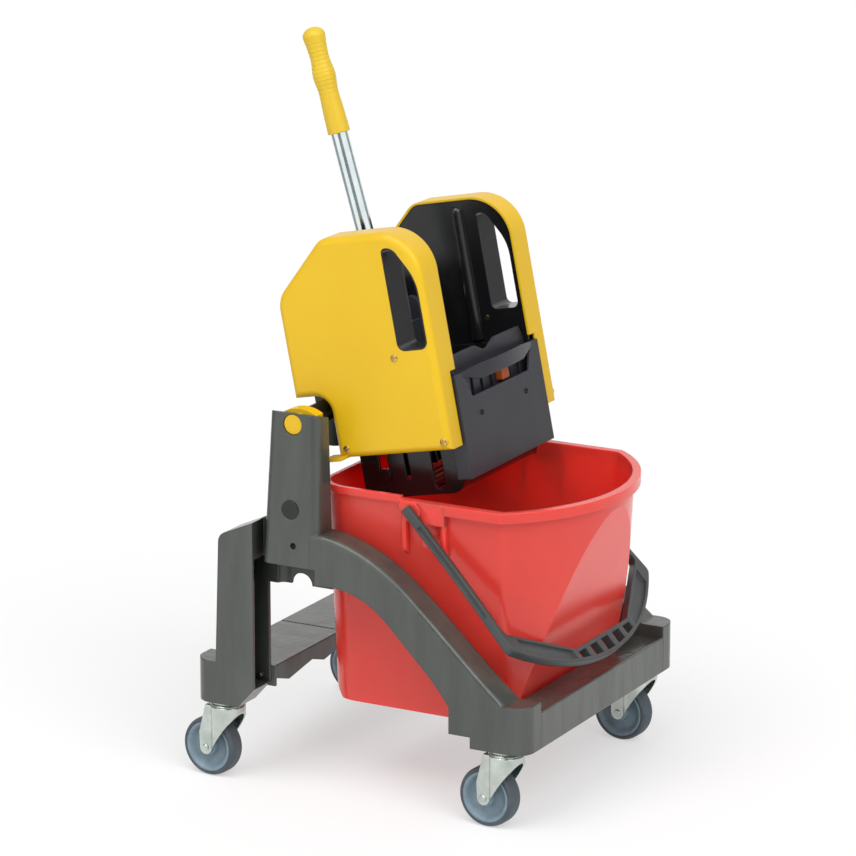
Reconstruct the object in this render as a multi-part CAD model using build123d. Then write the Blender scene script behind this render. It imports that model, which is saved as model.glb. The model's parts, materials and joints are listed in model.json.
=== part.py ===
from build123d import *
import math
import os

# Fits and clearances
running_fit = 0.05
turning_gap = 0.3
side_gap = 0.5

# Chassis footprint, measured over the side frames
chassis_width = 416.0
chassis_length = 466.0
housing_bottom = 102.0
housing_plate = 5.0
frame_wall = 4.0
rib_wall = 3.0
frame_corner_r = 24.0

# Arch arm of a side frame, seen from the side
arm_width = 40.0
post_top = 161.0
post_length = 30.0
step_inset = 75.0
arm_length = 104.0
arm_bottom = 116.0
arm_shoulder = 150.0
arch_crown = 336.0
arch_soffit_rise = 17.0
arch_top_drop = 5.5
arch_top_shape = ((0.22, 0.285), (0.38, 0.503), (0.51, 0.67), (0.64, 0.81), (0.80, 0.93))
arch_low_shape = ((0.12, 0.22), (0.36, 0.575), (0.60, 0.885), (0.78, 0.985))
arch_rib_pitch = 52.0
arch_rib_count = 3
arch_edge_r = 6.0
arch_end_lap = 5.0
face_step = 0.2

# Tower of a side frame
tower_inset = 50.0
tower_width_low = 50.0
tower_width_top = 35.0
tower_depth_low = 82.0
tower_depth_top = 69.0
tower_corner_r = 13.0
tower_skirt = 257.0
tower_skin_rise = 36.0
tower_top = 482.0
tower_top_fall = 9.5
tower_cap = 15.0
tower_notch_r = 14.5
tower_notch_shift = 7.0

# Rear leg of a side frame
leg_width = 43.0
leg_setback = 91.0
leg_depth_low = 54.0
leg_depth_top = 48.0
leg_top_front = 341.0
leg_top_rear = 320.0
leg_foot_height = 26.0
leg_foot_length = 23.0
housing_top = 156.0
rear_inset = 4.0
leg_top_r = 14.0
web_width = 23.0
web_top = 343.0
web_r = 10.0

# Castor housings and stems
castor_inset_x = 26.0
castor_inset_y = 38.4
stem_r = 6.0
stem_boss_r = 13.0
stem_boss_height = 34.0
stem_length = 30.0

# Front tray
bar_depth = 44.0
bar_lip = 4.0
bar_lip_height = 2.0
bar_edge_r = 1.5
floor_top = 110.0
floor_thickness = 4.0
floor_reach = 121.0
tray_rib_depth = 12.0
tray_rib_pitch = 80.0

# Rear cross beam
beam_top = 147.7
beam_front_setback = 96.0
beam_rear_setback = 8.0
beam_skirt = 130.0
beam_tooth = 9.0
beam_tooth_margin = 34.5
beam_tooth_count = 4
beam_tooth_fall = 29.0
beam_crease = 0.6
beam_crease_width = 3.0

# Spine under the bucket
spine_width = 66.0
spine_depth = 12.0
spine_length = 170.0
spine_lap = 40.0

# Frame bolts
bolt_r = 3.0
bolt_head_r = 5.8
bolt_head_height = 4.0
bolt_reach = 7.0
beam_bolt_spread = 28.0
bolt_drop = 13.0
tray_bolt_setback = 46.0
tray_bolt_z = 125.0
tray_bolt_spread = 30.0
tray_cheek_height = 24.0

# Hinge pins and plugs of the towers
hinge_setback = 141.0
hinge_z = 467.5
pin_r = 10.0
pin_head_r = 12.3
pin_head_height = 3.5
pin_recess = 1.2
pin_reach = 44.0
pin_boss_wall = 4.0
pin_cap_inset = 2.0
pin_cap_length = 16.0
pin_cap_width = 46.0
pin_cap_top = 483.6
pin_cap_arch_r = 44.0
plug_z = 362.5
plug_r = 11.5
plug_stem_r = 7.0
plug_height = 2.0
plug_stem_length = 9.0
plug_proud = 0.6
pilot_z = 318.5
pilot_shift = -5.0
pilot_r = 4.0
stop_reach = 8.0
stop_depth = 8.0
stop_height = 16.0

# Castor
wheel_diameter = 75.0
tyre_width = 24.0
tyre_depth = 5.5
tyre_shoulder_r = 3.5
hub_rim = 3.0
hub_web = 9.0
hub_boss_r = 11.0
hub_recess = 2.0
castor_trail = 23.3
castor_turn = -4.3
axle_r = 3.0
axle_head_r = 4.5
axle_head_height = 1.8
axle_head_edge = 0.8
fork_sheet = 2.5
fork_bell_r = 22.0
fork_half = 16.5
fork_top_z = 92.0
fork_edge_r = 2.0
fork_eye_r = 8.5
fork_front_z = 88.0
fork_rear_top = 23.0
fork_knee = 9.5
fork_knee_z = 57.0
race_bottom_r = 22.5
race_top_r = 20.5
race_height = 4.2
race_edge = 1.5
cup_r = 21.5
cup_edge = 1.2
kingpin_head_r = 10.0
kingpin_head_height = 3.2

# Bucket
bucket_height = 275.0
bucket_side_room = 51.0
bucket_side_draft = 19.0
bucket_rear_setback = 152.0
bucket_rear_draft = 2.0
bucket_corner_setback = 59.0
bucket_front_sag = 76.0
bucket_front_sag_floor = 62.0
bucket_corner_r = 40.0
bucket_front_r = 14.0
bucket_wall = 3.0
facet_overhang = 11.0
facet_top_z = 345.0
facet_slope = 0.295
heel_depth = 20.0
heel_height = 20.0
rim_lip = 8.0
rim_skirt = 13.0
rim_front_y = -38.0
rim_bead = 2.5
rim_rear_rise = 3.0
bucket_rib_pitch = 53.0
bucket_rib_front = 12.0
bucket_rib_width = 6.0
bucket_rib_height = 52.0

# Bail handle
bail_y = -55.0
bail_z = 372.0
bail_angle = 46.0
bail_room = 40.5
bail_arm = 7.0
bail_stations = 5
bail_splay = 11.0
bail_bend = 200.0
bail_bend_r = 10.0
bail_end = 7.0
bail_depth = 11.0
bail_reach = 272.0
bail_front_r = 298.0
bail_ladder_half = 70.0
bail_ladder_width = 26.5
bail_shoulder_slope = 0.54
bail_rail = 5.0
bail_rung = 10.0
bail_openings = 5
bail_recess = 3.0
bail_rim = 4.0
bail_recess_start = 78.0
bail_recess_margin = 3.5
bail_peg_r = 5.0
bail_peg_length = 12.0
bail_groove = 2.0
bail_groove_width = 5.0
bail_groove_start = 22.0
ear_r = 12.5
rest_peg_r = 4.0
rest_peg_reach = 42.0

# Press: tilt on the hinge pins, and the outline of the covers in the press's own frame
press_tilt = 11.3
cover_gap = 18.0
cover_depth = 43.0
cover_front = -180.0
cover_bottom = -57.0
cover_top = 213.0
cover_rear = 26.0
cover_rear_top = 145.0
cover_top_rear = -47.0
cover_front_r = 55.0
cover_top_r = 25.0
cover_rear_r = 35.0
cover_edge_r = 9.0
cover_wall = 3.0
notch_y = -22.0
notch_z = 21.0
notch_r = 21.0
rebate_top = 34.0
rebate_width = 13.0
rebate_depth = 19.0
foot_length = 24.0
foot_reach = 15.0
foot_thickness = 4.0

# Handle slot of the covers
slot_rear = -133.5
slot_front = -171.0
slot_bottom = 70.0
slot_top = 192.0
slot_shoulder = 152.0
slot_peak_y = -146.0
slot_r = 8.0
slot_shoulder_r = 60.0
slot_peak_r = 14.0
slot_top_r = 4.0
tunnel_wall = 2.0

# Liner
liner_sheet = 3.0
liner_recess = 1.5
liner_lug_r = 48.0
liner_lug_rear = 20.0
liner_lug_front = -30.0
guide_y = -107.0
guide_r = 8.0
guide_edge_r = 7.0
guide_top = 203.0
guide_bottom = 34.0

# Hinge boss of the press
boss_r = 13.0
boss_spigot_r = 12.0
boss_chamfer = 1.5

# Front plate with its lip
plate_overlap = 11.0
plate_front = -184.0
plate_sheet = 3.5
plate_top = 27.0
plate_bottom = -100.0
plate_return = 20.0
plate_slot_inset = 34.0
plate_slot_top_inset = 24.0
plate_slot_bottom = -5.5
plate_slot_top = 16.0
lip_inset = 18.0
lip_bulge = 9.0
lip_bottom = 12.5
lip_top = 30.0
lip_flat_inset = 52.0
lip_end = 22.0
lip_sheet = 3.0
stud_x = 58.0
stud_z = -28.5
stud_r = 2.5

# Notched sieve behind the front plate
sieve_front = -171.0
sieve_sheet = 4.0
sieve_top = 48.0
sieve_notch_top = 26.0
sieve_notch_low = 6.0
sieve_notch_depth = 9.0
sieve_slot = 7.0
sieve_slot_length = 90.0
sieve_slot_count = 7
sieve_slot_margin = 25.0

# Basket
basket_wall = 3.0
basket_rear = -26.0
basket_top = 30.0
basket_bottom = -118.0
basket_corner_r = 20.0
basket_slot_top = 8.0
wide_slot_y = -132.0
wide_slot = 15.0
wide_slot_bottom = -112.0
thin_slot_y = -90.0
thin_slot = 6.0
thin_slot_bottom = -98.0
grid_slot_margin = 22.0
grid_slot_pitch = 17.0
grid_slot_count = 6
grid_slot = 7.0

# Rear panel, tie rod and screws of the press
panel_y = 17.0
panel_sheet = 3.5
panel_bottom = 24.0
panel_top = 116.0
panel_rib = 10.0
tie_r = 6.0
tie_nut_r = 9.0
screw_r = 2.5
screw_head_r = 4.6
screw_head_height = 1.6
screw_bite = 3.0
screw_boss_r = 5.5
slot_screw_y = -124.5
slot_screw_z = 60.8
front_screw_y = -172.0
rear_screw_y = -36.0
low_screw_z = -46.0
catch_width = 18.0
catch_height = 15.0
catch_x = 22.0
catch_bottom = -4.0

# Lever, in its own frame with the shaft on the origin
lever_lean = 5.3
shaft_y = -57.8
shaft_z = -90.0
shaft_r = 6.0
shaft_head_r = 8.5
shaft_head = 2.0
cheek_x = 56.0
cheek_sheet = 6.0
cheek_front = -14.0
cheek_rear = 7.0
cheek_top = 194.0
hub_r = 12.0
socket_r = 14.0
socket_bottom = 46.0
socket_top = 212.0
web_low = 66.0
web_high = 164.0
web_sheet = 6.0
jaw_gap = 8.0
jaw_sheet = 5.0
jaw_bottom = -8.0
jaw_top = 134.0
jaw_rib = 3.0
jaw_rib_depth = 5.0
jaw_rib_count = 8
jaw_rib_margin = 12.0
tube_r = 11.0
tube_wall = 1.5
tube_foot = 50.0
tube_top = 478.0
tube_bolt_r = 3.0
tube_bolt_z = 126.0
tube_bolt_head_r = 5.5
tube_bolt_head = 3.5
grip_bottom = 414.0
grip_top = 547.0
grip_foot_r = 14.0
grip_shape = ((26.0, 13.3), (54.0, 12.4), (72.0, 14.3), (93.0, 11.9), (109.0, 12.7))
grip_knob_r = 14.2
grip_knob_rise = 11.0

half_width = chassis_width / 2
half_length = chassis_length / 2
arm_inner = half_width - arm_width
leg_inner = half_width - leg_width
leg_front = half_length - leg_setback
tower_inner_x = half_width - tower_inset
hinge_y = half_length - hinge_setback
post_rear = post_length - half_length
step_y = step_inset - half_length
arm_rear = arm_length - half_length
castor_x = half_width - castor_inset_x
castor_y = half_length - castor_inset_y
wheel_r = wheel_diameter / 2
floor_rear = floor_reach - half_length
beam_front = half_length - beam_front_setback
beam_rear = half_length - beam_rear_setback
beam_tooth_pitch = 2 * (leg_inner - beam_tooth_margin) / (beam_tooth_count - 1)
tray_bolt_y = tray_bolt_setback - half_length
tower_front_low = hinge_y - tower_depth_low / 2
arch_soffit = tower_skirt + arch_soffit_rise
tower_skin = tower_skirt + tower_skin_rise
bucket_floor = floor_top
bucket_rim = bucket_floor + bucket_height
bucket_half_top = half_width - bucket_side_room
bucket_half_floor = bucket_half_top - bucket_side_draft
bucket_rear_top = half_length - bucket_rear_setback
bucket_rear_floor = bucket_rear_top - bucket_rear_draft
bucket_corner_y = bucket_corner_setback - half_length
facet_top_y = -half_length - facet_overhang
bail_inner = half_width - bail_room
bail_ladder_s = bail_reach - bail_ladder_width
cover_outer = tower_inner_x - cover_gap
cover_inner = cover_outer - cover_depth
liner_inner = cover_inner + liner_recess
liner_outer = liner_inner + liner_sheet
plate_half = cover_inner + plate_overlap
plate_slot_half = plate_half - plate_slot_inset
plate_slot_top_half = plate_half - plate_slot_top_inset
lip_half = plate_half - lip_inset
lip_flat_half = plate_half - lip_flat_inset
sieve_slot_pitch = 2 * (cover_inner - sieve_slot_margin) / (sieve_slot_count - 1)
grid_slot_length = 2 * (cover_inner - grid_slot_margin)
jaw_half = cover_inner - jaw_gap
jaw_rib_pitch = 2 * (jaw_half - jaw_rib_margin) / (jaw_rib_count - 1)
foot_rear = notch_y + foot_length / 2
screw_places = (
    (slot_screw_y, slot_screw_z, liner_outer),
    (front_screw_y, low_screw_z, plate_half + side_gap),
    (rear_screw_y, low_screw_z, liner_outer),
)

# Places of the press frame and of the lever frame
press_at = Pos(0, hinge_y, hinge_z) * Rot(-press_tilt, 0, 0)
lever_at = press_at * Pos(0, shaft_y, shaft_z) * Rot(-lever_lean, 0, 0)


def box(x0, x1, y0, y1, z0, z1):
    return Pos((x0 + x1) / 2, (y0 + y1) / 2, (z0 + z1) / 2) * Box(x1 - x0, y1 - y0, z1 - z0)


def rod_x(radius, x0, x1, y=0.0, z=0.0):
    return Pos((x0 + x1) / 2, y, z) * Rot(0, 90, 0) * Cylinder(radius, x1 - x0)


def rod_y(radius, y0, y1, x=0.0, z=0.0):
    return Pos(x, (y0 + y1) / 2, z) * Rot(90, 0, 0) * Cylinder(radius, y1 - y0)


def rod_z(radius, z0, z1, x=0.0, y=0.0):
    return Pos(x, y, (z0 + z1) / 2) * Cylinder(radius, z1 - z0)


def hex_x(radius, x0, x1, y=0.0, z=0.0):
    blank = Pos(x0, y, z) * (Plane.YZ * RegularPolygon(radius, 6))
    return extrude(blank, x1 - x0, dir=(1, 0, 0))


def yz_prism(face, x0, x1):
    return extrude(Pos(x0, 0, 0) * (Plane.YZ * face), x1 - x0, dir=(1, 0, 0))


def xz_prism(points, y0, y1):
    plane = Plane(origin=(0, y0, 0), x_dir=(1, 0, 0), z_dir=(0, -1, 0))
    return extrude(plane * Polygon(*points, align=None), y1 - y0, dir=(0, 1, 0))


def turned(points, axis_plane):
    return revolve(axis_plane * Polygon(*points, align=None), Axis((0, 0, 0), axis_plane.y_dir))


def both(part):
    return part, mirror(part, about=Plane.YZ)


def curve_points(start, end, shape):
    span = end[0] - start[0]
    rise = end[1] - start[1]
    return [start] + [(start[0] + f * span, start[1] + g * rise) for f, g in shape] + [end]


def edge_near(part, axis, point):
    return part.edges().filter_by(axis).sort_by_distance(point)[0]


def slots_through(count, pitch, maker):
    first = -(count - 1) / 2 * pitch
    return [maker(first + i * pitch) for i in range(count)]


# Side frame: arch arm with the front castor housing
def arch_section(drop, front, rear, floor):
    top = curve_points((post_rear, post_top - drop), (tower_front_low, arch_crown - drop), arch_top_shape)
    ends = Polyline((rear, top[-1][1]), (rear, floor), (front, floor), (front, top[0][1]), top[0])
    return make_face((ends + Spline(*top) + Line(top[-1], (rear, top[-1][1]))).edges())


def arch_outline():
    top = curve_points((post_rear, post_top), (tower_front_low, arch_crown), arch_top_shape)
    low = curve_points((arm_rear, arm_shoulder), (tower_front_low, arch_soffit), arch_low_shape)
    rear = tower_front_low + tower_corner_r
    front = Polyline(
        top[0],
        (-half_length, post_top),
        (-half_length, housing_bottom),
        (step_y, housing_bottom),
        (step_y, arm_bottom),
        (arm_rear, arm_bottom),
        low[0],
    )
    end = tower_front_low + arch_end_lap
    joint = Polyline(
        low[-1],
        (end, arch_soffit),
        (end, tower_skin),
        (rear, tower_skin),
        (rear, arch_crown),
        top[-1],
    )
    return make_face((front + Spline(*low) + joint + Spline(*top)).edges())


# Draft that leans the outer face of the arch in until it meets the face of the tower
def arch_draft():
    top = arch_crown + arm_width
    out = half_width + arm_width
    points = (
        (tower_face_x(tower_skirt) + face_step, tower_skirt),
        (tower_face_x(top) + face_step, top),
        (out, top),
        (out, tower_skirt),
    )
    return xz_prism(points, -half_length, hinge_y)


def on_crest(edge):
    middle = edge.position_at(0.5)
    share = (middle.Y - post_rear) / (tower_front_low - post_rear)
    chord = post_top + share * (arch_crown - post_top)
    return middle.X > castor_x and middle.Z > chord - arch_edge_r


def arch_arm():
    body = yz_prism(arch_outline(), arm_inner, half_width)
    corner = edge_near(body, Axis.Z, (half_width, -half_length, arm_bottom))
    body = fillet(corner, frame_corner_r) - arch_draft()
    body = fillet([edge for edge in body.edges().filter_by(GeomType.BSPLINE) if on_crest(edge)], arch_edge_r)
    rear = tower_front_low + tower_corner_r + frame_wall
    section = arch_section(arch_top_drop, frame_wall - half_length, rear, 0)
    hollow = yz_prism(section, arm_inner + frame_wall, tower_face_x(arch_crown) - frame_wall)
    corner = edge_near(hollow, Axis.Z, (half_width, -half_length, 0))
    hollow = fillet(corner, frame_corner_r - frame_wall)
    hollow -= box(0, half_width, -half_length, step_y, 0, housing_bottom + housing_plate)
    hollow -= box(0, half_width, step_y - frame_wall, step_y, 0, post_top + arm_width)
    for i in range(arch_rib_count):
        rib_y = arm_rear + (i + 1) * arch_rib_pitch
        hollow -= box(0, half_width, rib_y - rib_wall / 2, rib_y + rib_wall / 2, 0, arch_crown)
    return body - hollow


# Side frame: tower with the seat of the hinge pin
def tower_depth(z):
    share = (z - tower_skirt) / (tower_top - tower_skirt)
    return tower_depth_low + share * (tower_depth_top - tower_depth_low)


def tower_shape(shrink, bottom, top):
    sections = []
    for z in (bottom, top):
        width = tower_face_x(z) - tower_inner_x - 2 * shrink
        plan = RectangleRounded(width, tower_depth(z) - 2 * shrink, tower_corner_r - shrink)
        sections.append(Pos(tower_inner_x + shrink + width / 2, hinge_y, z) * plan)
    return loft(sections)


def tower_face_x(z):
    share = (z - tower_skirt) / (tower_top - tower_skirt)
    return tower_inner_x + tower_width_low + share * (tower_width_top - tower_width_low)


def tower():
    body = tower_shape(0, tower_skirt, tower_top)
    inner_wall = tower_inner_x + frame_wall
    outer = half_width + side_gap
    end = tower_front_low + arch_end_lap
    rear = hinge_y + tower_depth_low
    body -= box(inner_wall, outer, end - tower_depth_low, rear, tower_skirt, arch_soffit)
    body -= box(inner_wall, outer, end, rear, arch_soffit, tower_skin)
    return body - rod_x(tower_notch_r, 0, inner_wall, hinge_y + tower_notch_shift, tower_skirt)


# Wedge above the top of the tower, which falls towards the press
def tower_slope():
    outer = tower_face_x(tower_top) + side_gap
    inner = tower_inner_x - side_gap
    slope = tower_top_fall / tower_width_top
    high = tower_top - face_step + side_gap * slope
    points = (
        (inner, high - (outer - inner) * slope),
        (outer, high),
        (outer, tower_top + pin_boss_wall),
        (inner, tower_top + pin_boss_wall),
    )
    reach = tower_depth_top / 2 + side_gap
    return xz_prism(points, hinge_y - reach, hinge_y + reach)


# Inner plate of the tower, carried on to the leg
def skirt_plate():
    front = hinge_y + tower_depth_low / 2 - tower_corner_r
    outer = leg_inner + frame_wall
    return box(tower_inner_x, outer, front, leg_front + frame_wall, tower_skirt, tower_skin + frame_wall)


def tower_bosses():
    outer = tower_face_x(hinge_z) - frame_wall / 2
    plug_x = tower_face_x(plug_z) - frame_wall / 2
    pin_boss = rod_x(pin_head_r + pin_boss_wall, tower_inner_x, outer, hinge_y, hinge_z)
    return pin_boss + rod_x(plug_stem_r + pin_boss_wall, tower_inner_x, plug_x, hinge_y, plug_z)


def tower_holes():
    pin_seat = tower_face_x(hinge_z) - pin_head_height - pin_recess
    plug_x = tower_face_x(plug_z)
    stem_end = plug_x - plug_stem_length - side_gap
    return (
        rod_x(pin_r + running_fit, 0, half_width, hinge_y, hinge_z),
        rod_x(pin_head_r + side_gap, pin_seat, half_width, hinge_y, hinge_z),
        rod_x(plug_stem_r + running_fit, stem_end, half_width, hinge_y, plug_z),
        rod_x(plug_r + running_fit, plug_x - plug_height, half_width, hinge_y, plug_z),
        rod_x(pilot_r, tower_face_x(pilot_z) - 2 * frame_wall, half_width, hinge_y + pilot_shift, pilot_z),
    )


# Stop on the inner face of the tower, behind the foot of the press cover
def press_stop():
    front = foot_rear + turning_gap
    low = cover_bottom - (stop_height - foot_thickness) / 2
    inner = tower_inner_x - stop_reach
    outer = tower_inner_x + frame_wall
    return press_at * box(inner, outer, front, front + stop_depth, low, low + stop_height)


# Side frame: rear leg, open to the front, with the rear castor housing
def leg():
    rear = half_length - rear_inset
    foot_front = leg_front + leg_foot_length
    outline = Polygon(
        (leg_front, housing_bottom + leg_foot_height),
        (leg_front, leg_top_front),
        (leg_front + leg_depth_top, leg_top_rear),
        (leg_front + leg_depth_low, housing_top),
        (rear, housing_top),
        (rear, housing_bottom),
        (foot_front, housing_bottom),
        align=None,
    )
    body = yz_prism(outline, leg_inner, half_width)
    body = fillet(edge_near(body, Axis.Z, (half_width, rear, housing_bottom)), frame_corner_r)
    top_rear = (leg_inner, leg_front + leg_depth_top, leg_top_rear)
    body = fillet(edge_near(body, Axis.X, top_rear), leg_top_r)
    inner_x = leg_inner + frame_wall
    outer_x = half_width - frame_wall
    channel_rear = leg_front + leg_depth_top - frame_wall
    body -= box(inner_x, outer_x, 0, channel_rear, housing_bottom + leg_foot_height, tower_skin)
    upper = leg_top_rear - 2 * frame_wall
    body -= box(inner_x, outer_x, leg_front + frame_wall, channel_rear, tower_skirt, upper)
    cell_top = housing_top - frame_wall
    cell_rear = rear - frame_corner_r / 2
    cell = box(inner_x, outer_x, foot_front + frame_wall, cell_rear, 0, cell_top)
    cell -= box(0, half_width, 0, half_length, 0, housing_bottom + housing_plate)
    return body - cell


def leg_web():
    front = hinge_y + tower_depth_low / 2 - tower_corner_r
    rear = leg_front + 2 * frame_wall
    wall = tower_depth(web_top + web_r) / 2 + hinge_y - face_step
    turn = web_r * (1 - math.sqrt(0.5))
    top = web_top + web_r
    low_end = (wall + web_r, web_top)
    inner_turn = ThreePointArc(low_end, (wall + turn, web_top + turn), (wall, top))
    rest = Polyline(
        (wall, top),
        (front, top),
        (front, tower_skin),
        (rear, tower_skin),
        (rear, leg_top_front - frame_wall),
        low_end,
    )
    inner = min(tower_inner_x, leg_inner)
    return yz_prism(make_face((inner_turn + rest).edges()), inner, inner + web_width)


def stem_boss(y):
    top = housing_bottom + stem_boss_height
    return rod_z(stem_boss_r, housing_bottom, top, castor_x, y)


def side_frame():
    frame = arch_arm() + tower() + leg() + leg_web() + skirt_plate()
    frame -= tower_shape(frame_wall, tower_skirt - frame_wall, tower_top - tower_cap)
    frame += tower_bosses()
    frame -= tower_slope()
    frame += press_stop()
    for y in (castor_y, -castor_y):
        depth = housing_bottom + stem_length + side_gap
        frame += stem_boss(y)
        frame -= rod_z(stem_r + running_fit, 0, depth, castor_x, y)
    for hole in tower_holes():
        frame -= hole
    for place in beam_bolts() + tray_bolts():
        frame -= bolt_hole(place)
    return frame


# Bolts that join the tray and the beam to the side frames
def beam_bolts():
    middle = (leg_front + leg_front + leg_depth_low) / 2
    return [(leg_inner, middle + side * beam_bolt_spread / 2, beam_top - bolt_drop) for side in (-1, 1)]


def tray_bolts():
    return [(arm_inner, tray_bolt_y + side * tray_bolt_spread / 2, tray_bolt_z) for side in (-1, 1)]


def bolt_hole(bolt):
    x, y, z = bolt
    return rod_x(bolt_r + running_fit, x - 2 * frame_wall, x + frame_wall + bolt_reach, y, z)


def bolt(place):
    x, y, z = place
    head_face = x - side_gap - frame_wall
    shank = rod_x(bolt_r, head_face, x + bolt_reach, y, z)
    return shank + hex_x(bolt_head_r, head_face - bolt_head_height, head_face, y, z)


def frame_bolts():
    right = [bolt(place) for place in beam_bolts() + tray_bolts()]
    return Compound(children=right + [mirror(item, about=Plane.YZ) for item in right])


# Front tray: bar, floor and cheeks
def front_tray():
    front = -half_length
    rear = front + bar_depth
    inner = arm_inner - side_gap
    bar = box(-inner, inner, front, rear, housing_bottom, beam_top)
    bar = fillet(bar.edges().filter_by(Axis.X).sort_by(Axis.Z)[-2:], bar_edge_r)
    ledge = beam_top - bar_lip_height
    bar -= box(-inner, inner, front + bar_lip, rear, ledge, beam_top)
    hollow_top = ledge - frame_wall
    bar -= box(-inner + frame_wall, inner - frame_wall, front + frame_wall, rear - frame_wall, 0, hollow_top)
    floor = box(-inner, inner, rear - frame_wall, floor_rear, floor_top - floor_thickness, floor_top)
    rib_bottom = floor_top - tray_rib_depth
    tray = bar + floor
    for x in (-tray_rib_pitch, tray_rib_pitch):
        x0 = x - rib_wall / 2
        tray += box(x0, x0 + rib_wall, rear - frame_wall, floor_rear, rib_bottom, floor_top - rib_wall)
    cheek_end = tray_bolt_y + tray_bolt_spread / 2 + bolt_head_r + frame_wall
    for side in (-1, 1):
        x0, x1 = sorted((side * inner, side * (inner - frame_wall)))
        cheek_top_z = floor_top + tray_cheek_height
        tray += box(x0, x1, rear - frame_wall, cheek_end, floor_top - rib_wall, cheek_top_z)
    for place in tray_bolts():
        tray -= bolt_hole(place)
        tray -= mirror(bolt_hole(place), about=Plane.YZ)
    return tray


# Rear cross beam with its saw-tooth skirt
def saw_edge():
    points = []
    half = leg_inner - side_gap
    for tip in slots_through(beam_tooth_count, beam_tooth_pitch, float):
        points += [(tip - beam_tooth_fall, beam_skirt), (tip, beam_skirt - beam_tooth)]
    return [(-half, beam_top), (-half, beam_skirt)] + points + [(half, beam_skirt), (half, beam_top)]


def rear_beam():
    half = leg_inner - side_gap
    beam = xz_prism(saw_edge(), beam_front, beam_front + frame_wall)
    beam += xz_prism(saw_edge(), beam_rear - frame_wall, beam_rear)
    beam += box(-half, half, beam_front, beam_rear, beam_top - frame_wall, beam_top)
    for x in (-half, half - frame_wall):
        beam += box(x, x + frame_wall, beam_front, beam_rear, beam_skirt - beam_tooth, beam_top)
    crease = beam_crease_width / 2
    beam -= box(-crease, crease, beam_front, beam_rear, beam_top - beam_crease, beam_top)
    for place in beam_bolts():
        beam -= bolt_hole(place)
        beam -= mirror(bolt_hole(place), about=Plane.YZ)
    return beam


# Spine that carries the rear of the bucket, lapped under the floor of the tray
def spine_plan(inset):
    length = spine_length - inset
    flat = Pos(0, floor_rear + length / 2) * Rectangle(spine_width - 2 * inset, length)
    return fillet(flat.vertices().sort_by(Axis.Y)[-2:], frame_corner_r - inset)


def spine():
    half = spine_width / 2
    bottom = floor_top - spine_depth
    lap_top = floor_top - floor_thickness
    body = extrude(Pos(0, 0, bottom) * spine_plan(0), spine_depth, dir=(0, 0, 1))
    body -= extrude(spine_plan(frame_wall), lap_top, dir=(0, 0, 1))
    return body + box(-half, half, floor_rear - spine_lap, floor_rear + frame_wall, bottom, lap_top)


# Hinge pins with their arched caps, and plugs of the towers
def pin_cap():
    inner = tower_inner_x + pin_cap_inset
    arch = Pos(hinge_y, pin_cap_top - pin_cap_arch_r) * Circle(pin_cap_arch_r)
    block = Pos(hinge_y, pin_cap_top) * Rectangle(pin_cap_width, 2 * tower_cap)
    return yz_prism(arch & block, inner, inner + pin_cap_length) & tower_slope()


def pivot_pin():
    face = tower_face_x(hinge_z) - pin_recess
    head = rod_x(pin_head_r, face - pin_head_height, face, hinge_y, hinge_z)
    pin = rod_x(pin_r, tower_inner_x - pin_reach, face - pin_head_height, hinge_y, hinge_z)
    return head + pin + pin_cap()


def tower_plug():
    face = tower_face_x(plug_z)
    cap = rod_x(plug_r, face - plug_height, face + plug_proud, hinge_y, plug_z)
    return cap + rod_x(plug_stem_r, face - plug_stem_length, face, hinge_y, plug_z)


def pair(part):
    return Compound(children=list(both(part)))


# Castor, with the kingpin on the origin and the wheel trailing to the rear
def castor_stem():
    cup_bottom = fork_top_z + fork_sheet + race_height + turning_gap
    points = (
        (0, fork_top_z - turning_gap - kingpin_head_height),
        (kingpin_head_r, fork_top_z - turning_gap - kingpin_head_height),
        (kingpin_head_r, fork_top_z - turning_gap),
        (stem_r, fork_top_z - turning_gap),
        (stem_r, cup_bottom),
        (cup_r, cup_bottom),
        (cup_r, housing_bottom - cup_edge),
        (cup_r - cup_edge, housing_bottom),
        (stem_r, housing_bottom),
        (stem_r, housing_bottom + stem_length),
        (0, housing_bottom + stem_length),
    )
    return turned(points, Plane.XZ)


def castor_race():
    bottom = fork_top_z + fork_sheet
    top = bottom + race_height
    inner = stem_r + running_fit
    points = (
        (inner, bottom),
        (race_bottom_r - race_edge, bottom),
        (race_bottom_r, bottom + race_edge),
        (race_top_r, top),
        (inner, top),
    )
    return turned(points, Plane.XZ)


# Pressed fork: a bell round the kingpin that runs out into two flat legs
def fork_plan(inset, reach):
    legs = Pos(0, reach / 2) * Rectangle(2 * (fork_half - inset), reach)
    return Circle(fork_bell_r - inset) + legs


def fork_side():
    crown = fork_top_z + fork_sheet
    rear = castor_trail + fork_knee
    sheet = Polygon(
        (-fork_bell_r, crown),
        (-fork_bell_r, fork_front_z),
        (rear, fork_knee_z),
        (fork_rear_top, crown),
        align=None,
    )
    eye = Pos(castor_trail, wheel_r) * Circle(fork_eye_r)
    return yz_prism(make_hull(sheet.edges() + eye.edges()), -fork_bell_r, fork_bell_r)


def castor_fork():
    crown = fork_top_z + fork_sheet
    reach = castor_trail + wheel_r
    fork = extrude(fork_plan(0, reach), crown, dir=(0, 0, 1))
    fork = fillet(fork.edges().filter_by(lambda edge: edge.center().Z > fork_top_z), fork_edge_r)
    fork -= extrude(fork_plan(fork_sheet, reach + fork_sheet), fork_top_z, dir=(0, 0, 1))
    fork &= fork_side()
    fork -= rod_z(stem_r + running_fit, 0, housing_bottom)
    return fork - rod_x(axle_r + running_fit, -fork_bell_r, fork_bell_r, castor_trail, wheel_r)


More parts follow.
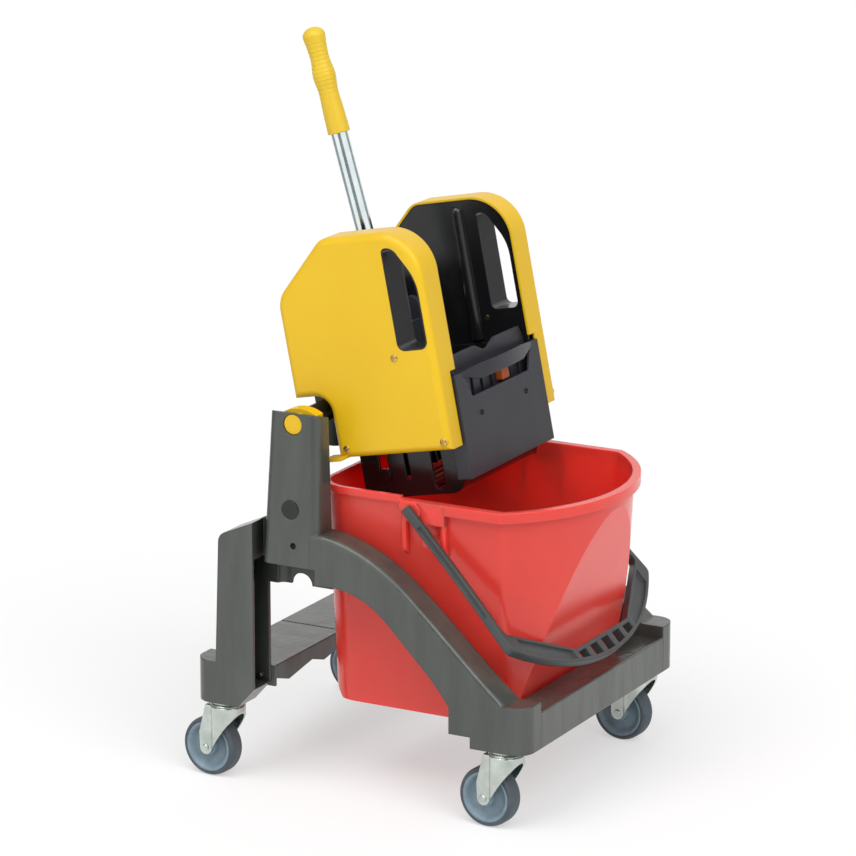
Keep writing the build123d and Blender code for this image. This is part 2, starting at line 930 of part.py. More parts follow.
def castor_axle():
    shank = rod_x(axle_r, -fork_half, fork_half, castor_trail, wheel_r)
    head = rod_x(axle_head_r, fork_half, fork_half + axle_head_height, castor_trail, wheel_r)
    head = chamfer(head.edges().sort_by(Axis.X)[-1], axle_head_edge)
    for side in both(head):
        shank += side
    return shank


def wheel_turned(flat):
    return Pos(0, castor_trail, wheel_r) * revolve(Plane.XY * flat, Axis.X)


def castor_tyre():
    half = tyre_width / 2
    inner = wheel_r - tyre_depth
    flat = Polygon((-half, inner), (-half, wheel_r), (half, wheel_r), (half, inner), align=None)
    return wheel_turned(fillet(flat.vertices().sort_by(Axis.Y)[-2:], tyre_shoulder_r))


def castor_hub():
    half = tyre_width / 2
    rim_outer = wheel_r - tyre_depth
    rim_inner = rim_outer - hub_rim
    bore = axle_r + running_fit
    boss = fork_half - fork_sheet - side_gap
    half_side = (
        (boss, bore),
        (boss, hub_boss_r - hub_recess),
        (boss - hub_recess, hub_boss_r),
        (hub_web / 2, hub_boss_r + hub_recess),
        (hub_web / 2, rim_inner - 2 * hub_recess),
        (half, rim_inner),
        (half, rim_outer),
    )
    points = list(half_side) + [(-x, r) for x, r in reversed(half_side)]
    return wheel_turned(Polygon(*points, align=None))


# Bucket with a D plan, a sloping front facet, rim, ears and ribs
def bucket_plan(z, inset):
    share = (z - bucket_floor) / bucket_height
    half = bucket_half_floor + share * (bucket_half_top - bucket_half_floor) - inset
    rear = bucket_rear_floor + share * (bucket_rear_top - bucket_rear_floor) - inset
    sag = bucket_front_sag_floor + share * (bucket_front_sag - bucket_front_sag_floor)
    tip = bucket_corner_y - sag + inset
    corner = bucket_corner_y
    r = bucket_corner_r - inset
    turn = r * (1 - math.sqrt(0.5))
    left = Line((-half, corner), (-half, rear - r))
    left_turn = ThreePointArc((-half, rear - r), (turn - half, rear - turn), (r - half, rear))
    back = Line((r - half, rear), (half - r, rear))
    right_turn = ThreePointArc((half - r, rear), (half - turn, rear - turn), (half, rear - r))
    right = Line((half, rear - r), (half, corner))
    front = ThreePointArc((half, corner), (0, tip), (-half, corner))
    outline = make_face((left + left_turn + back + right_turn + right + front).edges())
    return Pos(0, 0, z) * outline


def bucket_form(inset, bottom, top):
    plans = [bucket_plan(z, inset) for z in (bottom, top)]
    form = loft([fillet(plan.vertices().sort_by(Axis.Y)[:2], bucket_front_r - inset) for plan in plans])
    reach = 2 * bucket_height
    shift = inset * math.sqrt(1 + facet_slope ** 2)
    at_top = facet_top_y + shift - (top + inset - facet_top_z) * facet_slope
    at_bottom = facet_top_y + shift + (facet_top_z - bottom + inset) * facet_slope
    wedge = Polygon(
        (at_top, top + inset), (at_top - reach, top + inset), (at_bottom - reach, bottom - inset),
        (at_bottom, bottom - inset), align=None,
    )
    return form - yz_prism(wedge, -reach, reach) - bucket_heel(inset, reach)


def bucket_heel(inset, reach):
    length = math.hypot(heel_depth, heel_height)
    along = (heel_depth / length, heel_height / length)
    y = bucket_rear_floor - heel_depth - inset * along[1]
    z = bucket_floor + inset * along[0]
    start = (y - reach * along[0], z - reach * along[1])
    end = (y + reach * along[0], z + reach * along[1])
    return yz_prism(Polygon(start, (end[0], start[1]), end, align=None), -reach, reach)


def rim_band(inset, bottom, top):
    band = extrude(bucket_plan(bucket_rim, inset), top - bottom, dir=(0, 0, 1))
    return Pos(0, 0, bottom - bucket_rim) * band


def bucket():
    shell = bucket_form(0, bucket_floor, bucket_rim)
    lip = rim_band(-rim_lip, bucket_rim - rim_skirt, bucket_rim)
    lip -= rim_band(bucket_wall - rim_lip, bucket_rim - rim_skirt, bucket_rim - bucket_wall)
    reach = chassis_length
    lip -= box(-reach, reach, rim_front_y, reach, 0, bucket_rim + rim_skirt)
    bead = rim_band(-rim_bead, bucket_rim - rim_skirt / 2, bucket_rim + rim_rear_rise)
    bead -= box(-reach, reach, -reach, rim_front_y, 0, bucket_rim + rim_skirt)
    body = shell + lip + bead + bucket_side_ribs()
    body -= bucket_form(bucket_wall, bucket_floor + bucket_wall, bucket_rim + rim_skirt)
    for side in (-1, 1):
        x0, x1 = sorted((side * bucket_half_floor, side * (bail_inner + bail_arm)))
        body -= rod_x(bail_peg_r + running_fit, x0, x1, bail_y, bail_z)
    return body


def bucket_side_ribs():
    solids = []
    stand_out = bucket_half_top + rim_lip - rib_wall
    inner = bucket_half_floor
    top = bucket_rim - bucket_wall / 2
    front = bail_y - bucket_rib_pitch + bucket_rib_front
    half = bucket_rib_width / 2
    foot = bucket_rim - rim_skirt - bucket_rib_height
    for side in (-1, 1):
        for y in (front, front + bucket_rib_pitch):
            knee = foot + bucket_rib_height / 2
            points = ((inner, foot), (inner, top), (stand_out, top), (stand_out, knee))
            rib = xz_prism([(side * x, z) for x, z in points], y - half, y + half)
            solids.append(rib)
        x0, x1 = sorted((side * inner, side * (bail_inner - turning_gap)))
        solids.append(rod_x(ear_r, x0, x1, bail_y, bail_z))
        px0, px1 = sorted((side * inner, side * (bail_inner + bail_arm / 2)))
        solids.append(rod_x(rest_peg_r, px0, px1, *rest_peg_place()))
    outside = solids[0]
    for solid in solids[1:]:
        outside += solid
    return outside


def rest_peg_place():
    drop = bail_depth / 2 + rest_peg_r + turning_gap
    angle = math.radians(bail_angle)
    y = bail_y - rest_peg_reach * math.cos(angle) + drop * math.sin(angle)
    z = bail_z - rest_peg_reach * math.sin(angle) - drop * math.cos(angle)
    return y, z


# Bail handle, drawn flat with the eyes on the origin, then hung in place
def bail_side(shift, low, high):
    stations = [low + (high - low) * i / (bail_stations - 1) for i in range(bail_stations)]
    places = [(bail_inner + bail_splay * (s / bail_bend) ** 2 + shift, s) for s in stations]
    return Spline(*places)


def bail_front(x):
    return bail_reach - bail_front_r + math.sqrt(bail_front_r ** 2 - x ** 2)


def bail_shoulder(x):
    return bail_ladder_s - (x - bail_ladder_half) * bail_shoulder_slope


def bail_outline():
    outer = bail_side(bail_arm, -bail_end, bail_front(bail_inner + bail_arm + bail_splay))
    tip = outer @ 1
    inner = bail_side(0, -bail_end, bail_shoulder(bail_inner + bail_splay))
    elbow = inner @ 1
    front = ThreePointArc((tip.X, tip.Y), (0, bail_reach), (-tip.X, tip.Y))
    rail = Polyline(
        (elbow.X, elbow.Y),
        (bail_ladder_half, bail_ladder_s),
        (-bail_ladder_half, bail_ladder_s),
        (-elbow.X, elbow.Y),
    )
    ends = [Line((side * (inner @ 0).X, -bail_end), (side * (outer @ 0).X, -bail_end)) for side in (-1, 1)]
    arms = [outer, inner, mirror(outer, about=Plane.YZ), mirror(inner, about=Plane.YZ)]
    return make_face(Curve() + arms + [front, rail] + ends)


def bail_windows():
    width = 2 * bail_ladder_half
    low = bail_ladder_s + bail_rail
    disc = Pos(0, bail_reach - bail_front_r) * Circle(bail_front_r - bail_rail)
    window = disc & Pos(0, low + bail_reach / 2) * Rectangle(width, bail_reach)
    pitch = (width + bail_rung) / bail_openings
    for x in slots_through(bail_openings - 1, pitch, float):
        window -= Pos(x, low) * Rectangle(bail_rung, bail_reach)
    return window


def bail_channel():
    x0, x1 = bail_recess_start, bail_inner - bail_recess_margin
    disc = Pos(0, bail_reach - bail_front_r) * Circle(bail_front_r - bail_rim)
    band = Polygon(
        (x0, bail_shoulder(x0) + bail_rim),
        (x1, bail_shoulder(x1) + bail_rim),
        (x1, bail_reach),
        (x0, bail_reach),
        align=None,
    )
    return extrude(Pos(0, 0, -bail_depth / 2) * (disc & band), bail_recess, dir=(0, 0, 1))


def bail_groove_cut():
    low, high = bail_groove_start, bail_bend - 2 * bail_groove_start
    outer = bail_side(bail_arm + bail_groove, low, high)
    inner = bail_side(bail_arm - bail_groove, low, high)
    ends = [Line(outer @ at, inner @ at) for at in (0, 1)]
    return extrude(make_face(Curve() + [outer, inner] + ends), bail_groove_width / 2, both=True)


def bail():
    flat = bail_outline()
    bends = flat.vertices().filter_by(lambda v: v.Y > bail_bend / 2 and abs(v.X) > bail_inner)
    flat = fillet(bends, bail_bend_r)
    body = extrude(flat - bail_windows(), bail_depth / 2, both=True)
    for cut in both(bail_channel()) + both(bail_groove_cut()):
        body -= cut
    outer = bail_inner + bail_arm
    for side in (-1, 1):
        p0, p1 = sorted((side * (bail_inner - bail_peg_length), side * (outer - bail_groove)))
        body += rod_x(bail_peg_r, p0, p1)
    return Pos(0, bail_y, bail_z) * Rot(180 + bail_angle, 0, 0) * body


# Press: outline of a cover, its handle slot and its outer shell
def cover_outline(grow):
    points = [
        ((cover_front, cover_bottom), 0),
        ((cover_front, cover_top), cover_front_r),
        ((cover_top_rear, cover_top), cover_top_r),
        ((cover_rear, cover_rear_top), cover_rear_r),
        ((cover_rear, notch_z), 0),
        ((notch_y, notch_z), notch_r),
        ((notch_y, cover_bottom), 0),
    ]
    flat = rounded_outline(points)
    return offset(flat, grow, kind=Kind.INTERSECTION) if grow else flat


def rounded_outline(points):
    flat = Polygon(*[place for place, r in points], align=None)
    for place, r in points:
        if r:
            corner = flat.vertices().sort_by_distance((place[0], place[1], 0))[0]
            flat = fillet(corner, r)
    return flat


def slot_outline(grow):
    points = [
        ((slot_rear, slot_bottom), slot_r),
        ((slot_front, slot_bottom), slot_r),
        ((slot_front, slot_shoulder), slot_shoulder_r),
        ((slot_peak_y, slot_top), slot_peak_r),
        ((slot_rear, slot_top), slot_top_r),
    ]
    flat = rounded_outline(points)
    return offset(flat, grow, kind=Kind.INTERSECTION) if grow else flat


def press_cover():
    body = yz_prism(cover_outline(0), cover_inner, cover_outer)
    rim = body.faces().sort_by(Axis.X)[-1].edges()
    body = fillet(rim, cover_edge_r)
    hollow = yz_prism(cover_outline(-cover_wall), cover_inner, cover_outer - cover_wall)
    rim = hollow.faces().sort_by(Axis.X)[-1].edges()
    hollow = fillet(rim, cover_edge_r - cover_wall)
    body -= hollow
    front = cover_front - side_gap
    side = cover_inner + rebate_width
    body -= box(cover_inner, side, front, front + rebate_depth, cover_bottom, rebate_top)
    for y, z, inner in screw_places:
        body += rod_x(screw_boss_r, inner, cover_outer, y, z)
        body -= rod_x(screw_r + running_fit, cover_inner, cover_outer + cover_wall, y, z)
    body -= yz_prism(hinge_lug(running_fit), cover_inner, liner_outer + running_fit)
    body -= yz_prism(slot_outline(tunnel_wall), cover_inner, cover_outer + cover_wall)
    foot = box(
        cover_outer - cover_edge_r, cover_outer + foot_reach, foot_rear - foot_length, foot_rear,
        cover_bottom, cover_bottom + foot_thickness,
    )
    return body + foot


# Press: liner that closes a cover, with guide rib, handle tunnel and hinge lug
def hinge_lug(grow):
    lug = Circle(liner_lug_r + grow)
    width = liner_lug_rear - liner_lug_front + 2 * grow
    middle = (liner_lug_rear + liner_lug_front) / 2
    height = 2 * (liner_lug_r + grow)
    front = Pos(liner_lug_front / 2, 0) * Rectangle(-liner_lug_front, height)
    return (lug & Pos(middle, 0) * Rectangle(width, height)) + front


def press_liner():
    flat = cover_outline(-cover_wall - running_fit) + hinge_lug(0)
    body = yz_prism(flat, liner_inner, liner_outer)
    body += yz_prism(slot_outline(tunnel_wall - running_fit), liner_inner, cover_outer)
    rib = rod_z(guide_r, guide_bottom, guide_top, liner_inner, guide_y)
    rib = fillet(rib.edges().sort_by(Axis.Z)[-1], guide_edge_r)
    body += rib - box(liner_outer, cover_outer, guide_y - guide_r, guide_y + guide_r, guide_bottom, guide_top)
    body -= yz_prism(slot_outline(0), 0, cover_outer + cover_wall)
    body -= rod_x(boss_spigot_r + running_fit, 0, cover_outer)
    for y, z, inner in screw_places:
        body -= rod_x(screw_r + running_fit, inner - screw_bite, cover_outer, y, z)
    y, z = tie_place()
    return body - rod_x(tie_r + running_fit, 0, cover_outer, y, z)


def hinge_boss():
    end = tower_inner_x - turning_gap
    body = rod_x(boss_r, liner_outer, end)
    body = chamfer(body.edges().sort_by(Axis.X)[-1], boss_chamfer)
    body += rod_x(boss_spigot_r, liner_inner, liner_outer)
    return body - rod_x(pin_r + running_fit, 0, end)


# Press: front plate, sieve, basket and rear panel
def front_plate():
    rear = plate_front + plate_sheet
    body = box(-plate_half, plate_half, plate_front, rear, plate_bottom, plate_top)
    slot = (
        (-plate_slot_half, plate_slot_bottom), (plate_slot_half, plate_slot_bottom),
        (plate_slot_top_half, plate_slot_top),
        (plate_slot_top_half, plate_top + lip_sheet), (-plate_slot_top_half, plate_top + lip_sheet),
        (-plate_slot_top_half, plate_slot_top),
    )
    body -= xz_prism(slot, plate_front - lip_bulge, rear + lip_bulge)
    for side in (-1, 1):
        x0, x1 = sorted((side * plate_half, side * (plate_half - plate_sheet)))
        body += box(x0, x1, plate_front, plate_front + plate_return, plate_bottom, plate_top)
        body -= rod_y(stud_r + running_fit, plate_front, rear, side * stud_x, stud_z)
    body -= rod_x(screw_r + running_fit, -cover_outer, cover_outer, front_screw_y, low_screw_z)
    ledge = sieve_front - side_gap
    body += box(-plate_half, plate_half, plate_front, ledge, plate_bottom, plate_bottom + plate_sheet)
    return body + lip()


def lip():
    front = plate_front - lip_bulge
    outer = ThreePointArc((-lip_half, plate_front), (0, front), (lip_half, plate_front))
    back = plate_front + lip_sheet
    inner = ThreePointArc((-lip_half, back), (0, front + lip_sheet), (lip_half, back))
    ends = [Line((x, plate_front), (x, back)) for x in (-lip_half, lip_half)]
    plan = make_face((outer + inner + ends).edges())
    strip = extrude(Pos(0, 0, lip_bottom) * plan, lip_top - lip_bottom, dir=(0, 0, 1))
    shape = (
        (-lip_half, lip_end), (-lip_flat_half, lip_bottom), (lip_flat_half, lip_bottom), (lip_half, lip_end),
        (lip_half, plate_top), (lip_flat_half, lip_top), (-lip_flat_half, lip_top), (-lip_half, plate_top),
    )
    return strip & xz_prism(shape, front - lip_sheet, plate_front + 2 * lip_sheet)


def front_sieve():
    half = cover_inner - side_gap
    rear = sieve_front + sieve_sheet
    bottom = basket_bottom + basket_corner_r
    notch_low = sieve_top - sieve_notch_depth
    points = (
        (-half, bottom), (half, bottom), (half, rebate_top), (half - sieve_slot, sieve_top),
        (sieve_notch_top, sieve_top), (sieve_notch_low, notch_low), (-sieve_notch_low, notch_low),
        (-sieve_notch_top, sieve_top), (sieve_slot - half, sieve_top), (-half, rebate_top),
    )
    body = xz_prism(points, sieve_front, rear)
    middle = (bottom + notch_low) / 2
    for x in slots_through(sieve_slot_count, sieve_slot_pitch, float):
        slot = Plane.XZ * (Pos(x, middle) * SlotOverall(sieve_slot_length, sieve_slot, 90))
        body -= extrude(Pos(0, rear + side_gap, 0) * slot, sieve_sheet + 2 * side_gap, dir=(0, -1, 0))
    for side in (-1, 1):
        body -= rod_y(stud_r + running_fit, sieve_front, rear, side * stud_x, stud_z)
    return body


def plate_stud():
    flange = stud_r + side_gap
    spacer = rod_y(2 * stud_r, plate_front + plate_sheet, sieve_front, stud_x, stud_z)
    core = rod_y(stud_r, plate_front + flange, sieve_front + sieve_sheet, stud_x, stud_z)
    return spacer + core


def basket_section(wall):
    front = sieve_front + sieve_sheet
    corner = basket_bottom + basket_corner_r
    bottom = basket_bottom + wall
    flat = Polygon(
        (front, basket_top),
        (front, corner),
        (front + wall, corner),
        (front + wall, bottom),
        (basket_rear, bottom),
        (basket_rear, basket_top),
        align=None,
    ) if wall else Polygon(
        (front, basket_top), (front, bottom), (basket_rear, bottom), (basket_rear, basket_top), align=None
    )
    turn = flat.vertices().sort_by_distance((front + wall, bottom, 0))[0]
    return fillet(turn, basket_corner_r - wall)


def side_slot(y, width, bottom):
    middle = (basket_slot_top + bottom) / 2
    return Pos(y, middle) * SlotOverall(basket_slot_top - bottom, width, 90)


def basket():
    half = cover_inner
    inner = half - basket_wall
    body = yz_prism(basket_section(0), -half, half)
    body -= yz_prism(basket_section(basket_wall), -inner, inner)
    seat = shaft_r + running_fit
    for slot in (
        side_slot(wide_slot_y, wide_slot, wide_slot_bottom),
        side_slot(thin_slot_y, thin_slot, thin_slot_bottom),
        side_slot(shaft_y, 2 * seat, shaft_z - seat),
    ):
        body -= yz_prism(slot, -half, half)
    middle = (sieve_front + basket_corner_r + basket_rear) / 2
    for y in slots_through(grid_slot_count, grid_slot_pitch, lambda d: middle + d):
        slot = Pos(0, y, basket_bottom) * SlotOverall(grid_slot_length, grid_slot)
        body -= extrude(slot, basket_wall, dir=(0, 0, 1))
    return body


def rear_panel():
    half = liner_inner
    body = box(-half, half, panel_y, panel_y + panel_sheet, panel_bottom, panel_top)
    for z in (panel_bottom, panel_top - panel_sheet):
        body += box(-half, half, panel_y - panel_rib, panel_y, z, z + panel_sheet)
    return body


# Press: tie rod, cover screws and the catch in the front slot
def tie_place():
    angle = math.radians(lever_lean)
    reach = socket_r + tie_r + turning_gap
    height = (web_high + cheek_top) / 2
    y = shaft_y + reach * math.cos(angle) + height * math.sin(angle)
    z = shaft_z - reach * math.sin(angle) + height * math.cos(angle)
    return y, z


def tie_rod():
    y, z = tie_place()
    rod = rod_x(tie_r, -liner_outer, liner_outer, y, z)
    for nut in both(hex_x(tie_nut_r, liner_outer, liner_outer + tie_r, y, z)):
        rod += nut
    return rod


def cover_screws():
    solids = []
    for y, z, inner in screw_places:
        head = rod_x(screw_head_r, cover_outer, cover_outer + screw_head_height, y, z)
        solids.append(head + rod_x(screw_r, inner - screw_bite, cover_outer, y, z))
    return Compound(children=[press_at * item for solid in solids for item in both(solid)])


def press_catch():
    front = plate_front + plate_sheet + side_gap
    half = catch_width / 2
    return box(catch_x - half, catch_x + half, front, sieve_front, catch_bottom, catch_bottom + catch_height)


# Lever: shaft, yoke, jaw, tube and grip
def lever_shaft():
    half = cover_inner
    body = rod_x(shaft_r, -half - shaft_head, half + shaft_head)
    for side in both(rod_x(shaft_head_r, half, half + shaft_head)):
        body += side
    return body


def lever_yoke():
    eye = Circle(hub_r)
    width = cheek_rear - cheek_front
    head = Pos((cheek_front + cheek_rear) / 2, cheek_top - width / 2) * Circle(width / 2)
    blank = make_hull(eye.edges() + head.edges())
    cheek = yz_prism(blank, cheek_x, cheek_x + cheek_sheet)
    body = cheek + mirror(cheek, about=Plane.YZ)
    body += rod_x(hub_r, -cheek_x, cheek_x)
    for z in (web_low, web_high - web_sheet):
        body += box(-cheek_x, cheek_x, cheek_front, cheek_rear, z, z + web_sheet)
    body += box(-cheek_x, cheek_x, cheek_front, cheek_front + web_sheet, web_low, web_high)
    body += rod_z(socket_r, socket_bottom, socket_top)
    body -= rod_z(tube_r + running_fit, tube_foot, socket_top)
    body -= rod_x(tube_bolt_r + running_fit, -cheek_x, cheek_x, 0, tube_bolt_z)
    return body - rod_x(shaft_r + running_fit, -cheek_x - cheek_sheet, cheek_x + cheek_sheet)


def press_jaw():
    rear = cheek_front
    front = rear - jaw_sheet
    body = box(-jaw_half, jaw_half, front, rear, jaw_bottom, jaw_top)
    for x in slots_through(jaw_rib_count, jaw_rib_pitch, lambda d: d - jaw_rib / 2):
        body += box(x, x + jaw_rib, front - jaw_rib_depth, front, jaw_bottom, jaw_top - jaw_rib_depth)
    return body


def lever_tube():
    body = rod_z(tube_r, tube_foot, tube_top) - rod_z(tube_r - tube_wall, tube_foot, tube_top)
    return body - rod_x(tube_bolt_r + running_fit, -tube_r, tube_r, 0, tube_bolt_z)


def tube_bolt():
    body = rod_x(tube_bolt_r, -socket_r, socket_r, 0, tube_bolt_z)
    for side in both(hex_x(tube_bolt_head_r, socket_r, socket_r + tube_bolt_head, 0, tube_bolt_z)):
        body += side
    return body


def lever_grip():
    knob_z = grip_top - grip_knob_rise
    waist = [(r, grip_bottom + up) for up, r in grip_shape]
    outline = [(grip_foot_r, grip_bottom)] + waist + [(grip_knob_r, knob_z)]
    side = Spline(*outline)
    ball_r = (grip_knob_r ** 2 + grip_knob_rise ** 2) / (2 * grip_knob_rise)
    turn = math.asin(grip_knob_r / ball_r) / 2
    crown_mid = (ball_r * math.sin(turn), grip_top - ball_r * (1 - math.cos(turn)))
    crown = ThreePointArc(outline[-1], crown_mid, (0, grip_top))
    axis = Polyline((0, grip_top), (0, grip_bottom), outline[0])
    face = make_face((side + crown + axis).edges())
    body = revolve(Plane.XZ * face, Axis.Z)
    return body - rod_z(tube_r + running_fit, grip_bottom, tube_top + side_gap)


# Build every piece and save it
def castor_places():
    places = {}
    for across, x in (("left", -castor_x), ("right", castor_x)):
        for along, y in (("front", -castor_y), ("rear", castor_y)):
            places[along + "_" + across] = Pos(x, y, 0) * Rot(0, 0, castor_turn)
    return places


def pieces():
    frame = side_frame()
    cover = press_at * press_cover()
    liner = press_at * press_liner()
    boss = press_at * hinge_boss()
    yield "side_frame_right", frame
    yield "side_frame_left", mirror(frame, about=Plane.YZ)
    yield "front_tray", front_tray()
    yield "rear_beam", rear_beam()
    yield "spine", spine()
    yield "frame_bolts", frame_bolts()
    yield "pivot_pins", pair(pivot_pin())
    yield "tower_plugs", pair(tower_plug())
    yield "bucket", bucket()
    yield "bail", bail()
    yield "press_cover_right", cover
    yield "press_cover_left", mirror(cover, about=Plane.YZ)
    yield "press_liner_right", liner
    yield "press_liner_left", mirror(liner, about=Plane.YZ)
    yield "hinge_boss_right", boss
    yield "hinge_boss_left", mirror(boss, about=Plane.YZ)
    yield "front_plate", press_at * front_plate()
    yield "front_sieve", press_at * front_sieve()
    yield "basket", press_at * basket()
    yield "rear_panel", press_at * rear_panel()
    yield "plate_studs", pair(press_at * plate_stud())
    yield "tie_rod", press_at * tie_rod()
    yield "cover_screws", cover_screws()
    yield "press_catch", press_at * press_catch()
    yield "lever_shaft", press_at * Pos(0, shaft_y, shaft_z) * lever_shaft()
    yield "lever_yoke", lever_at * lever_yoke()
    yield "press_jaw", lever_at * press_jaw()
    yield "lever_tube", lever_at * lever_tube()
    yield "tube_bolt", lever_at * tube_bolt()
    yield "lever_grip", lever_at * lever_grip()
    stems = []
    for name, place in castor_places().items():
        stems.append(place * castor_stem())
        yield "castor_fork_" + name, place * castor_fork()
        yield "castor_race_" + name, place * castor_race()
        yield "castor_axle_" + name, place * castor_axle()
        yield "castor_hub_" + name, place * castor_hub()
        yield "castor_tyre_" + name, place * castor_tyre()
    yield "castor_stems", Compound(children=stems)


os.makedirs("parts", exist_ok=True)
for piece_name, piece in pieces():
    export_step(piece, "parts/" + piece_name + ".step")
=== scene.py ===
"""Studio picture of a single mop bucket trolley with a lever press."""

from __future__ import annotations

import json
import logging
import math
from dataclasses import dataclass, field
from enum import Enum

import bmesh
import bpy
import numpy as np
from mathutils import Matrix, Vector

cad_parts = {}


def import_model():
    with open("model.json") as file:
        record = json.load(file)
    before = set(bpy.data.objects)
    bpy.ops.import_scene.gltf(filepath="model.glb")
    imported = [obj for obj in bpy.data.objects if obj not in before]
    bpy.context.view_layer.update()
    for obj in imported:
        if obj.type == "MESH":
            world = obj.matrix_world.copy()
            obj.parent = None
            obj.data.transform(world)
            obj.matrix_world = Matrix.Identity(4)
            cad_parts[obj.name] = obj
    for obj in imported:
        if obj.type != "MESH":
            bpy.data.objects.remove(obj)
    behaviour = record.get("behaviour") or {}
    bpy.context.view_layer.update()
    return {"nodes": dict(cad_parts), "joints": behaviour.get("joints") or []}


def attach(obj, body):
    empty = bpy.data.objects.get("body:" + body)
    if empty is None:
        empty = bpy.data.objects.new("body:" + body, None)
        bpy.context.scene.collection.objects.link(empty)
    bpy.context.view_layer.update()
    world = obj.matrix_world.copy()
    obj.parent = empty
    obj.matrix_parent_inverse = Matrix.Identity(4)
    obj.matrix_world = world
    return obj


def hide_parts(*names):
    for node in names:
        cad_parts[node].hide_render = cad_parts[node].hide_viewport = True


log = logging.getLogger("trolley")

Colour = tuple[float, float, float]
Point = tuple[float, float, float]
Profile = tuple[Point, ...]
Settings = dict[str, object]
Socket = bpy.types.NodeSocket
Solids = dict[str, bpy.types.Object]
Joints = dict[str, dict]

MERGE_DISTANCE = 1e-6
MM = 0.001
SIDES = (-1.0, 1.0)
UPRIGHT = 0.9
WHITE = (1.0, 1.0, 1.0, 1.0)

# The curve of screen colours has a straight foot and then a power.
SCREEN_TOP = 255.0
FOOT_END = 0.04045
FOOT_SLOPE = 12.92
CURVE_OFFSET = 0.055
CURVE_POWER = 2.4


def srgb(red: int, green: int, blue: int) -> Colour:
    """Turn a screen colour of 0 to 255 into linear light.

    Args:
        red: Screen red.
        green: Screen green.
        blue: Screen blue.

    Returns:
        The three linear channels.
    """
    share = np.array((red, green, blue)) / SCREEN_TOP
    curve = ((share + CURVE_OFFSET) / (1.0 + CURVE_OFFSET)) ** CURVE_POWER
    linear = np.where(share <= FOOT_END, share / FOOT_SLOPE, curve)
    return tuple(float(c) for c in linear)


class Corner(Enum):
    """The four corners of the chassis, as the frame names them."""

    FRONT_LEFT = "front_left"
    FRONT_RIGHT = "front_right"
    REAR_LEFT = "rear_left"
    REAR_RIGHT = "rear_right"


class Slot(Enum):
    """Material slots of the trolley."""

    FRAME = "frame_grey"
    BUCKET = "bucket_red"
    COVER = "yellow_plastic"
    GRIP = "grip_yellow"
    PRESS = "press_grey"
    BLACK = "black_plastic"
    BAIL = "bail_grey"
    ZINC = "zinc"
    SCREW = "screw_brass"
    CATCH = "catch_orange"
    TUBE = "tube_chrome"
    HUB = "hub_grey"
    TYRE = "tyre_grey"


